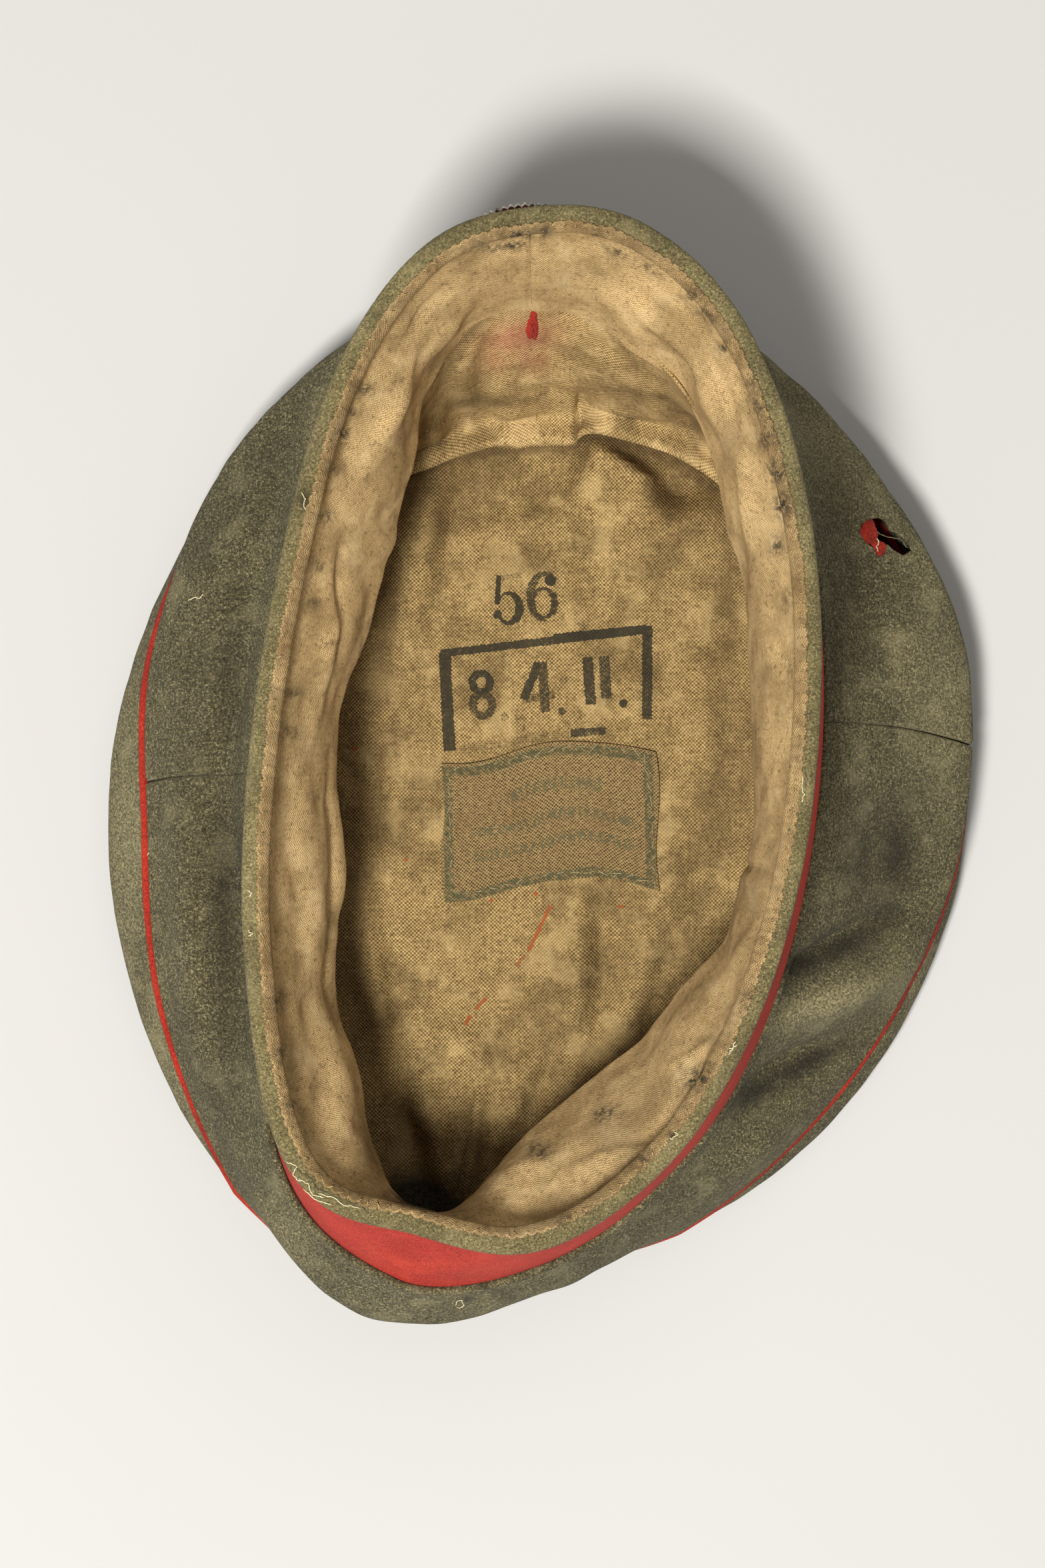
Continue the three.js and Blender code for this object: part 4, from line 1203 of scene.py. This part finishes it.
crownLining = {
    "around": 480, "lines": 76, "outer": 0.99, "inner": 0.03,
    # puckers: place across and along, half sizes, as shares of the crown, and rise
    "puckers": [
        (0.30, 0.62, 0.16, 0.10, 1.0), (-0.34, 0.52, 0.10, 0.20, 0.8),
        (-0.44, -0.10, 0.10, 0.34, 0.6), (0.10, -0.38, 0.07, 0.16, 0.5),
        (0.52, -0.12, 0.12, 0.22, 0.7), (-0.20, -0.58, 0.12, 0.16, 0.8),
    ],
    # the seam steps outward past the pleat at the front: its turn, how far and how sharply
    "pleat": {"turn": 0.2325, "step": 0.036, "sharp": 0.0014, "middle": 0.197, "reach": 0.045},
    "uneven": [(22, 61, 1.7), (8, 62, 0.5)], "raised": 1.2, "clearOfWool": 0.6,
    # creases by the picture: across, down, half width, half height, turn, rise
    "creases": [
        (1008, 738, 26, 24, 0, -6.5), (938, 702, 70, 66, 121, 8.0, 6.0),
        (1050, 760, 40, 40, 60, 2.5, 4.0), (1000, 800, 70, 22, -14, 3.0),
        (888, 700, 22, 60, 16, 2.4), (850, 716, 14, 50, 14, -1.8), (640, 800, 26, 110, 10, 2.6),
        (676, 800, 18, 110, 12, -2.0), (720, 800, 80, 20, -8, 2.0), (800, 752, 60, 18, 8, -1.4),
        (866, 1440, 22, 120, 3, 2.6), (900, 1440, 16, 110, 3, -1.8),
        (705, 1720, 14, 70, 10, 4.5, 5.0), (655, 1700, 20, 80, -14, 3.6),
        (615, 1690, 16, 90, -12, -3.0), (770, 1660, 24, 80, 22, 3.4),
        (806, 1640, 16, 80, 24, -2.0), (560, 1450, 20, 130, -6, 2.0),
        (594, 1500, 16, 120, -8, -1.4), (950, 1500, 26, 100, 14, 2.4),
        (984, 1480, 18, 90, 14, -1.8), (1000, 1350, 26, 110, 10, 1.8),
        (560, 1150, 18, 130, 4, 2.0), (1060, 1100, 24, 150, -4, 2.2),
        (760, 1240, 50, 16, -10, 1.0), (900, 1240, 20, 60, 4, 1.4),
        (1030, 1200, 60, 20, -30, -1.2), (640, 1380, 60, 22, 20, -1.2),
        (585, 900, 20, 90, 6, -1.6), (700, 1570, 70, 24, 30, 2.0),
        (820, 1560, 60, 20, -20, -1.4), (740, 700, 40, 24, -20, 1.6),
    ],
    # dark along the seam, from a share of the way out
    "edgeFrom": 0.935, "edgeOver": 0.018, "edgeShade": 0.9,
    "printed": (640, 845, 1000, 1140),         # the part of the picture where the print lies
    # mostly painted shade: near black in the gap at the back left, shadows of the band's free
    # edges, the dark sides of creases and of the dent by the seam, with some dirt
    "sootAndShade": [(636, 1806, 66, 34, 1.8, 16), (690, 1760, 20, 30, 0.6)],
    "soilAndShade": [
        (600, 730, 44, 80, 0.8), (570, 960, 34, 170, 0.6), (530, 1400, 30, 200, 0.7),
        (700, 700, 30, 60, 0.5, 20), (1095, 900, 16, 160, 0.6), (1120, 1150, 18, 160, 0.5),
        (850, 1660, 140, 16, 0.8, -38), (712, 1712, 8, 36, 1.0, 10),
        (1000, 1480, 26, 100, 0.5, 24), (560, 1200, 26, 100, 0.5), (640, 1700, 80, 80, 0.45),
        (1040, 760, 60, 50, 0.40), (1080, 1100, 40, 220, 0.30), (820, 1600, 120, 120, 0.25),
        (940, 1440, 50, 120, 0.25), (735, 850, 60, 40, 0.25), (620, 1180, 40, 120, 0.25),
        (636, 1800, 76, 44, 1.8, 14), (600, 1700, 26, 70, 0.8, -10), (1003, 742, 24, 16, 0.75),
        (1052, 716, 50, 24, 1.05, 38), (982, 732, 30, 10, 0.6, 36),
        (1020, 724, 10, 34, 0.6, 10), (700, 700, 14, 60, 0.7, 12), (658, 770, 18, 60, 0.6, 14),
        (950, 692, 60, 10, 1.0, 31), (880, 676, 8, 30, 0.9, 10), (720, 1735, 10, 50, 0.9, 8),
        (1020, 800, 40, 16, 0.5, -30), (960, 800, 60, 14, 0.4, -16), (640, 690, 26, 30, 0.5),
        (1080, 740, 30, 60, 0.5), (560, 1560, 26, 90, 0.5, -6),
    ],
}


def liningHeight(x, y):
    total = 0.0
    for middleX, middleY, wide, long, rise in crownLining["puckers"]:
        over = (x / sizes["crownHalf"][0] - middleX) / wide
        along = (y / sizes["crownHalf"][1] - middleY) / long
        total = total + rise * bell(np.hypot(over, along))
    base = sizes["wool"] + sizes["clearance"] + sizes["lining"] / 2
    return base + sizes["pucker"] * np.minimum(1, total)


def liningSeam(turn):
    pleat = crownLining["pleat"]
    past = 1 / (1 + np.exp((turn - pleat["turn"]) / pleat["sharp"]))
    window = np.exp(-((turn - pleat["middle"]) / pleat["reach"]) ** 4)
    reach = share(crownTable["seam"], turn) + pleat["step"] * past * window
    return onEllipse((0, 0), sizes["crownHalf"], turn, reach)


lowestLining = sizes["wool"] + crownLining["clearOfWool"]


def creasedHeight(x, y):
    plain = liningHeight(x, y)
    extra = (unevenOn(np.stack([x, y, 0 * x], -1), crownLining["uneven"]) + crownLining["raised"]
             + picturePush(np.stack([x, y, plain], -1), crownLining["creases"]))
    return np.maximum(plain + extra, lowestLining)


def makeCrownLining():
    count = crownLining["around"]
    parts = np.linspace(crownLining["outer"], crownLining["inner"], crownLining["lines"])
    rows = liningSeam(np.arange(count) / count)[:, None] * parts[:, None]
    rows[..., 2] = creasedHeight(rows[..., 0], rows[..., 1])
    points, faces, uvs = clothShell(rows, linen, hub=True, flatUv=True)
    shade = np.clip((parts - crownLining["edgeFrom"]) / crownLining["edgeOver"], 0, 1)
    edgeLines = len(points) // 2 // count - len(parts)      # the lines of the rounded edge
    shade = np.tile(np.concatenate([shade[:1]] * edgeLines + [shade]), 2 * count)
    shade = crownLining["edgeShade"] * np.concatenate([shade, [0, 0]])
    marks = wearAndPaintedLight(points, crownLining, "sootAndShade", "soilAndShade")
    marks["soilAndShade"] = np.maximum(marks["soilAndShade"], shade)
    piece = addCloth("crownLining", (points, faces, uvs), stainedLinen,
                     "lining_crown", marks)
    piece.data.materials.append(printedLinen)
    across, down = inPicture(np.array([points[list(face)].mean(0) for face in faces]))
    left, top, right, bottom = crownLining["printed"]
    inside = (across > left) & (across < right) & (down > top) & (down < bottom)
    piece.data.polygons.foreach_set("material_index", inside.astype(np.int32))


makeCrownLining()

# The side lining, from the lining band out and down to the crown lining

sideLining = {
    "around": 640, "lines": 50, "topUp": 2.0, "seamUp": 0.5,
    # how it falls into a pocket behind the seam and rolls up at it
    "pocketIn": 0.4, "dipBack": 7.5, "dipMost": 2.0, "dipUp": 0.6, "rollIn": 2.8, "rollUp": 4.6,
    "clear": 0.8,                              # what it keeps from the hollows of the panels
    "uneven": [(12, 71, 0.7), (5, 72, 0.28)],
    "creases": [
        (866, 622, 16, 34, 4, -4.2, 7.0), (930, 600, 44, 18, 10, 2.2),
        (760, 604, 60, 14, 0, 1.6), (676, 585, 26, 40, -20, -2.6), (700, 520, 16, 60, 20, 2.4),
        (1000, 604, 30, 20, 30, 2.4), (826, 540, 12, 60, 0, -1.2), (770, 500, 14, 40, 0, 1.0),
        (640, 640, 20, 16, 0, 2.0), (840, 588, 40, 12, 8, -1.8), (960, 560, 60, 16, 35, 2.2),
        (920, 520, 40, 14, 30, -2.0), (800, 560, 60, 14, 0, -1.2), (720, 580, 14, 30, 10, -1.6),
        (820, 500, 5, 20, 0, -0.8), (1030, 640, 16, 30, -30, -2.4, 4.0),
    ],
    "folds": [
        (0.262, 0.006, 1.6, 0.8, 0.3, 0), (0.272, 0.005, -1.2, 0.8, 0.3, 0),
        (0.300, 0.012, 1.0, 0.5, 0.4, 0), (0.220, 0.012, 1.2, 0.5, 0.4, 0),
        (0.190, 0.008, -1.2, 0.6, 0.4, 0), (0.710, 0.010, 1.5, 0.5, 0.4, 0),
        (0.740, 0.008, -1.5, 0.5, 0.4, 0),
    ],
    "rose": [(780, 505, 56, 26, 0.8, -10), (800, 540, 26, 22, 0.5), (742, 540, 24, 20, 0.45)],
    # painted shade: the black gap at the back left, under the seam's roll and the pleat, and
    # inside the moth hole, with some dirt
    "soilAndShade": [
        (790, 470, 40, 16, 0.4), (640, 640, 30, 20, 0.6), (1040, 640, 30, 24, 0.7),
        (700, 590, 40, 16, 0.4), (625, 1800, 90, 50, 2.0, 14), (960, 560, 40, 30, 0.4, 30),
        (690, 520, 14, 80, 0.8, 36), (740, 604, 110, 11, 0.8), (1000, 600, 50, 12, 0.9, 30),
        (620, 600, 30, 40, 0.7), (940, 590, 60, 14, 0.6, 10), (1325, 810, 50, 40, 1.8),
        (1010, 590, 50, 24, 0.5, 40),
    ],
}


def makeSideLining():
    turn = np.arange(sideLining["around"]) / sideLining["around"]
    crownOut = outward(crownRing, turn)
    behind = sizes["lining"] + 2 * sizes["clearance"]
    top = skirtRing(turn) + outward(skirtRing, turn) * behind
    top[..., 2] += sideLining["topUp"]
    seam = liningSeam(turn)
    seam = withHeight(seam, creasedHeight(seam[:, 0], seam[:, 1]) + sideLining["seamUp"])
    plain = (top + seam) / 2
    inside = panelBulge(turn) * (1 - sideLining["pocketIn"])
    inside += pipingLine(turn) * sideLining["pocketIn"]
    inside -= crownOut * (sizes["wool"] + sizes["foldDepth"])
    pocket = plain + (inside - plain) * share(crownTable["pocket"], turn)[..., None]
    dip = towards(seam, pocket, sideLining["dipBack"])
    dip[..., 2] = np.minimum(dip[..., 2], seam[..., 2] + sideLining["dipMost"])
    dip[..., 2] += sideLining["dipUp"]
    roll = seam - crownOut * sideLining["rollIn"]
    roll[..., 2] += sideLining["rollUp"]
    rows = smoothRows([top, pocket, dip, roll, seam], sideLining["lines"])
    level = levelsOf(rows)
    push = (foldPush(turn[:, None], level, sideLining["folds"])
            + picturePush(rows, sideLining["creases"])
            - np.minimum(0, picturePush(rows, sidePanels["hollows"])) + sideLining["clear"]
            + unevenOn(rows, sideLining["uneven"]))
    hold = np.sin(np.pi * np.clip(level, 0.02, 1)) ** 0.6
    rows += gridNormals(rows, True) * (hold * push)[..., None]
    rows[..., 2] = np.maximum(rows[..., 2], lowestLining)
    shell = clothShell(rows, linen)
    addCloth("sideLining", shell, litCoarseLinen, "lining_side",
             wearAndPaintedLight(shell[0], sideLining, "soilAndShade", "rose"))


makeSideLining()
print("linings made")

# The sewn-in label

label = {
    "middle": (2.5, -0.2), "tilt": 1.5, "across": 100, "down": 66, "inset": 0.4, "cloth": 0.5,
    "lift": 0.6, "hem": 0.35, "hemWidth": 4.0, "hemOver": 1.2, "uneven": [(5, 81, 0.2)],
    # it was sewn on in a curve, a little wavy along its edges and sides
    "arch": {"rise": 5.0, "at": 6, "wide": 17, "drop": 0.9}, "wavy": 0.4, "sideWavy": 0.6,
}


def labelArch(u, v):
    arch = label["arch"]
    return (arch["rise"] * bell((u - arch["at"]) / arch["wide"]) - arch["drop"]
            + label["wavy"] * np.sin(u / 4 + v / 6))


def makeLabel():
    wide, long = labelSize["width"] / 2, labelSize["length"] / 2
    middleX, middleY = label["middle"]
    cosine, sine = math.cos(math.radians(label["tilt"])), math.sin(math.radians(label["tilt"]))
    u, v = np.meshgrid(np.linspace(label["inset"] - wide, wide - label["inset"], label["across"]),
                       np.linspace(long - label["inset"], label["inset"] - long, label["down"]),
                       indexing="ij")
    sewnU = u + label["sideWavy"] * np.sin(v / 5) * np.abs(u) / wide
    sewnV = v + labelArch(u, v)
    x = sewnU * cosine - sewnV * sine + middleX
    y = sewnU * sine + sewnV * cosine + middleY
    fromEdge = np.minimum(wide - np.abs(u), long - np.abs(v))
    hem = label["hem"] * np.clip((label["hemWidth"] - fromEdge) / label["hemOver"], 0, 1)
    height = (creasedHeight(x, y) + label["lift"] + hem
              + unevenOn(np.stack([x, y, 0 * x], -1), label["uneven"]))
    points, faces, _ = clothShell(np.stack([x, y, height], -1), label["cloth"], ring=False)
    aside, above = points[:, 0] - middleX, points[:, 1] - middleY
    localU = aside * cosine + above * sine
    localV = above * cosine - aside * sine
    localV = localV - labelArch(localU, localV)
    corners = [index for face in faces for index in face]
    shell = points, faces, np.stack([localU[corners], localV[corners]], -1)
    addCloth("sewnLabel", shell, labelCotton, "label")


makeLabel()

# The cockade on the band's front: two toothed rings and a domed boss. The rows of a ring are
# a share of the radius, millimetres less, a height, and how far the teeth show there.

cockade = {
    "diameter": 25, "tooth": 0.9, "steps": 10, "drop": 17.3, "tip": 3.2, "turn": 0.255,
    "edge": {"teeth": 48, "rows": [
        (1, 0, 0.35, 1), (1, 0.3, 0.9, 1), (0.88, 0, 1.35, 1), (0.76, 0, 1.2, 0.5),
        (0.74, 0, 0.7, 0), (0.74, 0, 0.1, 0), (0.9, 0, 0.05, 0.2), (1, 0, 0.1, 1)]},
    "ring": {"teeth": 40, "rows": [
        (0.76, 0, 1.1, 0.4), (0.72, 0, 1.7, 0.6), (0.58, 0, 2.0, 0.5), (0.47, 0, 1.8, 0.2),
        (0.45, 0, 1.2, 0), (0.45, 0, 0.6, 0), (0.74, 0, 0.6, 0)]},
    "boss": [(0.47, 0.6), (0.47, 1.5), (0.44, 2.0), (0.36, 2.45), (0.26, 2.75), (0.14, 2.95),
             (0.04, 3.0)],
    "bossSides": 64,
}


def cockadeFrame():
    turn = np.array([cockade["turn"]])
    out = outward(mouthRing, turn)[0]
    top = besideRim(turn, -sizes["bandInset"], -underRim)[0]
    climb = unit(top - waist(turn)[0])
    side = unit(np.cross(climb, out))
    face = unit(np.cross(side, climb))
    tip = math.radians(cockade["tip"])
    leaning = climb * math.cos(tip) + face * math.sin(tip)
    foot = top - climb * (cockade["drop"] + cockade["diameter"] / 2 - underRim)
    foot = foot + face * (sizes["wool"] / 2 + 2 * sizes["clearance"])
    return foot + leaning * cockade["diameter"] / 2, side, leaning, np.cross(side, leaning)


def circleAt(radius, height, count):
    angle = 2 * np.pi * np.arange(count) / count
    return np.stack([radius * np.cos(angle), radius * np.sin(angle),
                     np.broadcast_to(height, count)], -1)


def toothedRing(ring):
    count = ring["teeth"] * cockade["steps"]
    wave = np.abs(((np.arange(count) / cockade["steps"]) % 1) - 0.5) * 2
    points = []
    for part, less, height, show in ring["rows"]:
        cut = cockade["tooth"] * show * wave
        radius = cockade["diameter"] / 2 * part - less - cut
        points.append(circleAt(radius, height - 0.35 * cut, count))
    return np.concatenate(points), ringFaces(len(ring["rows"]), count, True)


def makeCockade():
    centre, side, leaning, front = cockadeFrame()

    def place(name, points, faces, finish, nodes=()):
        points = centre + points[:, :1] * side + points[:, 1:2] * leaning + points[:, 2:] * front
        addPiece(name, madeMesh(name, points, faces), finish, nodes)

    place("cockadeEdge", *toothedRing(cockade["edge"]), silverMetal, ["cockade"])
    place("cockadeRing", *toothedRing(cockade["ring"]), blackLacquer)
    count, rings = cockade["bossSides"], len(cockade["boss"])
    points = [circleAt(cockade["diameter"] / 2 * r, h, count) for r, h in cockade["boss"]]
    place("cockadeBoss", np.concatenate(points),
          ringFaces(rings, count, False) + lidFaces(rings, count), silverMetal)


makeCockade()
print("label and cockade made")

# The hem's stitches: how they lie across the hem's edge, and how unevenly they are set

hemStitch = {
    "radius": 0.13, "outs": [0.5, 0.05, -0.3, -0.65, -0.95], "rises": [-0.2, 0.2, 0.38, 0.2, -0.3],
    "reach": 1.6, "spacing": 0.06, "slant": 0.3,
}


def addThreads(name, parts, finish):
    points, faces = joined([part for part in parts if part])
    addPiece(name, madeMesh(name, points, faces), finish)


def makeHemStitches():
    parts = []
    for k in range(stitchCount):
        reach = (k + dice.normal(0, hemStitch["spacing"])) * rimLength / stitchCount
        turn = np.array([np.interp(reach, rimPlace, rimTurns)])
        slant = dice.normal(0, hemStitch["slant"]) * hemStitch["reach"]
        outs = share(liningBand["hemOut"], turn) + np.array(hemStitch["outs"])
        out = outward(mouthRing, turn)[0]
        along = np.array([-out[1], out[0], 0])
        line = (besideRim(turn, 0.0, 0.0)[0] + out * outs[:, None]
                + along * (slant * np.linspace(-1, 1, len(outs)))[:, None])
        line[:, 2] += hemStitch["rises"]
        parts.append(tubeParts(line, hemStitch["radius"], 5))
    addThreads("hemStitches", parts, tanThread)


makeHemStitches()


# A strand that lies on the first kept cloth under each point of the picture
def strandOn(names, through, radius, lift=0.15, waver=0.0, sides=5):
    stations = np.linspace(0, len(through) - 1, 4 * len(through))
    across, down = (np.interp(stations, np.arange(len(through)), column)
                    for column in zip(*through))
    places = []
    for x, y in zip(across, down):
        for name in names:
            place = onCloth(name, x, y, lift)
            if place is not None:
                places.append(place + waver * dice.normal(0, 1, 3))
                break
    return tubeParts(np.array(places), radius, sides) if len(places) > 3 else None


inMouth = ["rimRoll", "liningBand", "sideLining", "crownLining"]
onWool = ["rimRoll", "redBand", "frontPanel", "backPanel", "crownCloth"]

# Loose threads, each with the cloths it lies on and its points in the picture
threads = {
    "cream": {"radius": 0.10, "lift": 0.2, "waver": 0.1, "finish": creamThread, "lines": [
        (onWool, [(452, 738), (458, 748), (455, 758), (461, 764)]),
        (inMouth, [(1206, 1164), (1203, 1178), (1206, 1192), (1203, 1204)]),
        (inMouth, [(1088, 1568), (1097, 1574), (1106, 1567)]),
        (inMouth, [(1092, 1582), (1100, 1572), (1103, 1560)]),
        (inMouth, [(1000, 1700), (1008, 1708), (1018, 1702), (1010, 1696)]),
        (onWool, [(371, 1336), (378, 1340), (374, 1346)]),
        (onWool, [(372, 1396), (379, 1401), (373, 1405)]),
        (onWool, [(218, 1274), (225, 1279), (219, 1284)]),
        (onWool, [(283, 901), (292, 896), (299, 898), (305, 892)]),
        (onWool, [(684, 1958), (686, 1950), (693, 1949), (696, 1956), (690, 1962), (685, 1959)]),
        (onWool, [(1315, 808), (1319, 814), (1314, 820), (1318, 827)]),
        (inMouth, [(430, 1742), (446, 1750), (440, 1762), (452, 1772)]),
        (inMouth, [(448, 1768), (462, 1776), (470, 1792), (486, 1796)]),
        (inMouth, [(478, 1790), (500, 1796), (516, 1808), (540, 1812)]),
        (inMouth, [(456, 1782), (474, 1800), (498, 1806)]),
        (inMouth, [(500, 1786), (520, 1796), (548, 1800), (556, 1816)]),
        (inMouth, [(436, 1752), (430, 1764), (440, 1778)]),
    ]},
    "dark": {"radius": 0.12, "lift": 0.2, "waver": 0.1, "finish": darkThread, "lines": [
        (inMouth, [(440, 1748), (452, 1760), (466, 1766), (474, 1782)]),
        (inMouth, [(470, 1780), (492, 1790), (512, 1800)]),
        (inMouth, [(520, 1804), (536, 1806), (552, 1818)]),
        (inMouth, [(1205, 1150), (1211, 1166), (1206, 1182)]),
        (onWool, [(1312, 796), (1330, 806), (1348, 808), (1362, 822)]),
        (onWool, [(488, 1876), (494, 1882), (500, 1886)]),
    ]},
    "tan": {"radius": 0.09, "lift": 0.0, "waver": 0.02, "finish": tanThread, "lines": [
        (inMouth, [(793, 352), (796, 400), (798, 456)]),
        (inMouth, [(800, 512), (802, 560), (805, 632)]),
    ]},
}
for kind, thread in threads.items():
    addThreads(kind + "Threads", [
        strandOn(names, through, thread["radius"], thread["lift"], thread["waver"])
        for names, through in thread["lines"]], thread["finish"])

# Stitches along the lining's seam at the front and round the label, by the picture: their
# steps and lengths there, and how they lean and vary

stitchLines = {
    "seamStitches": {
        "finish": tanThread, "on": ["sideLining", "crownLining"], "lift": 0.05,
        "step": 15, "length": 6, "radius": 0.14,
        "line": [
            (612, 672), (649, 639), (683, 628), (717, 633), (801, 639), (860, 652), (902, 632),
            (941, 620), (992, 620), (1014, 634), (1044, 660),
        ]},
    "labelStitches": {
        "finish": paleThread, "on": ["sewnLabel", "crownLining"], "lift": 0.1,
        "step": 21, "length": 17, "radius": 0.14, "slant": (0.1, 0.45), "vary": (0.6, 1.2),
        "line": [
            (675, 1154), (717, 1147), (754, 1142), (796, 1132), (843, 1121), (880, 1119),
            (927, 1123), (966, 1130), (973, 1170), (979, 1217), (980, 1263), (983, 1310),
            (983, 1329), (955, 1315), (927, 1310), (899, 1309), (852, 1308), (810, 1312),
            (763, 1326), (726, 1336), (684, 1342), (677, 1329), (677, 1291), (675, 1249),
            (675, 1212), (674, 1184), (675, 1154),
        ]},
}


def spaced(line, step):
    line = np.array(line, float)
    lengths = np.concatenate([[0], np.cumsum(np.linalg.norm(np.diff(line, axis=0), axis=1))])
    wanted = np.arange(step / 2, lengths[-1], step)
    behind, places, ahead = (
        np.stack([np.interp(wanted + more, lengths, line[:, axis]) for axis in (0, 1)], -1)
        for more in (-1, 0, 1))
    return places, unit(ahead - behind)


def makeStitches(name, stitch):
    parts = []
    for place, way in zip(*spaced(stitch["line"], stitch["step"])):
        reach = stitch["length"] / 2
        if "slant" in stitch:
            way = unit(way + dice.normal(*stitch["slant"]) * np.array([-way[1], way[0]]))
            reach *= dice.uniform(*stitch["vary"])
        line = [place - way * reach, place, place + way * reach]
        parts.append(strandOn(stitch["on"], line, stitch["radius"], stitch["lift"]))
    addThreads(name, parts, stitch["finish"])


for name, stitch in stitchLines.items():
    makeStitches(name, stitch)

# A moth hole in the wool, scraps of red cloth in it, and a red slit in the lining

damage = {
    "hole": [
        (1293, 786), (1304, 779), (1318, 777), (1330, 783), (1334, 796), (1347, 800),
        (1360, 811), (1367, 826), (1355, 833), (1341, 825), (1331, 816), (1327, 832),
        (1317, 835), (1311, 822), (1299, 814), (1290, 799),
    ],
    "near": 4, "far": 7,                       # how far the cut reaches to both sides of the wool
    "scraps": [
        {"on": "frontPanel", "at": (1305, 799), "half": (12, 19), "turn": -10, "lift": -0.3},
        {"on": "frontPanel", "at": (1321, 822), "half": (9, 12), "turn": 20, "lift": -0.2},
        {"on": "sideLining", "at": (799, 489), "half": (7, 22), "turn": -3, "lift": 0.35},
    ],
    "scrapSides": 28, "scrapCloth": 0.7, "lobes": 0.18, "ragged": 0.05, "crumpled": 0.08,
    "droop": 0.5, "soiled": 0.35, "soilBlots": (2.5, 91, 0.6),
}


def cutHole(piece, outline):
    near, far = [], []
    for x, y in outline:
        place = onCloth(piece.name, x, y)
        view = unit(np.array(picture["eye"]) - place)
        near.append(place + view * damage["near"])
        far.append(place - view * damage["far"])
    count = len(outline)
    faces = [tuple(range(count))[::-1], tuple(range(count, 2 * count))]
    faces += [(k, (k + 1) % count, count + (k + 1) % count, count + k) for k in range(count)]
    cutter = bpy.data.objects.new("cutter", madeMesh("cutter", near + far, faces))
    bpy.context.scene.collection.objects.link(cutter)
    cut = piece.modifiers.new("hole", "BOOLEAN")
    cut.operation, cut.solver, cut.object = "DIFFERENCE", "EXACT", cutter
    shown = piece.evaluated_get(bpy.context.evaluated_depsgraph_get())
    mesh = bpy.data.meshes.new_from_object(shown)
    piece.modifiers.clear()
    print("hole cut:", len(piece.data.polygons), "faces before,", len(mesh.polygons), "after")
    if len(mesh.polygons) > 0.9 * len(piece.data.polygons):
        piece.data = mesh
    bpy.data.objects.remove(cutter)


def scrapParts(scrap):
    tilt = math.radians(scrap["turn"])
    rows = []
    for angle in 2 * np.pi * np.arange(damage["scrapSides"]) / damage["scrapSides"]:
        edge = (1 + damage["lobes"] * math.sin(3 * angle + scrap["turn"])
                + dice.normal(0, damage["ragged"]))
        line = []
        for part in (1.0, 0.8, 0.6, 0.4, 0.2):
            x = scrap["half"][0] * edge * part * math.cos(angle)
            y = scrap["half"][1] * edge * part * math.sin(angle)
            lift = scrap["lift"] - damage["droop"] * part * part
            place = onCloth(scrap["on"],
                            scrap["at"][0] + x * math.cos(tilt) - y * math.sin(tilt),
                            scrap["at"][1] - x * math.sin(tilt) - y * math.cos(tilt),
                            lift + dice.normal(0, damage["crumpled"]))
            if place is None:
                place = line[-1] if line else rows[-1][0]
            line.append(place)
        rows.append(line)
    return clothShell(np.array(rows), damage["scrapCloth"], hub=True)[:2]


def makeScraps():
    points, faces = joined([scrapParts(scrap) for scrap in damage["scraps"]])
    marks = {"soilAndShade": damage["soiled"] + blotsOn(points, *damage["soilBlots"])}
    addPiece("redScraps", madeMesh("redScraps", points, faces, marks=marks), redWool)


cutHole(frontPanel, damage["hole"])
makeScraps()
print("stitches, threads and damage made")

# Floor and light

room = {
    "floorTone": (182, 180, 175), "floorReach": 4.0, "aim": (0, 0.01, 0.03),
    "sky": 0.30, "skyTone": (1.0, 0.99, 0.97, 1),
    "key": {"at": (-0.30, -0.42, 1.48), "size": 0.30, "power": 37},
    "fill": {"at": (0.5, 0.9, 1.2), "size": 1.2, "power": 4},
}


def makeRoom():
    mesh = bpy.data.meshes.new("floor")
    reach = room["floorReach"]
    mesh.from_pydata([(-reach, -reach, 0), (reach, -reach, 0), (reach, reach, 0),
                      (-reach, reach, 0)], [], [(0, 1, 2, 3)])
    floor = bpy.data.objects.new("floor", mesh)
    bpy.context.scene.collection.objects.link(floor)
    pale = bpy.data.materials.new("paleFloor")
    pale.use_nodes = True
    setInputs(pale.node_tree.nodes["Principled BSDF"],
              {"Base Color": tone(*room["floorTone"]), "Roughness": 0.9})
    mesh.materials.append(pale)
    world = bpy.data.worlds.new("studio")
    bpy.context.scene.world = world
    world.use_nodes = True
    setInputs(world.node_tree.nodes["Background"], {0: room["skyTone"], 1: room["sky"]})
    for name in ("key", "fill"):
        light = bpy.data.lights.new(name, "AREA")
        light.size = room[name]["size"]
        light.energy = room[name]["power"]
        lamp = bpy.data.objects.new(name, light)
        lamp.location = room[name]["at"]
        lamp.rotation_mode = "QUATERNION"
        lamp.rotation_quaternion = (Vector(room["aim"]) - lamp.location).to_track_quat("-Z", "Y")
        bpy.context.scene.collection.objects.link(lamp)
    bpy.context.scene.view_settings.view_transform = "Standard"


makeRoom()

print("scene ready")
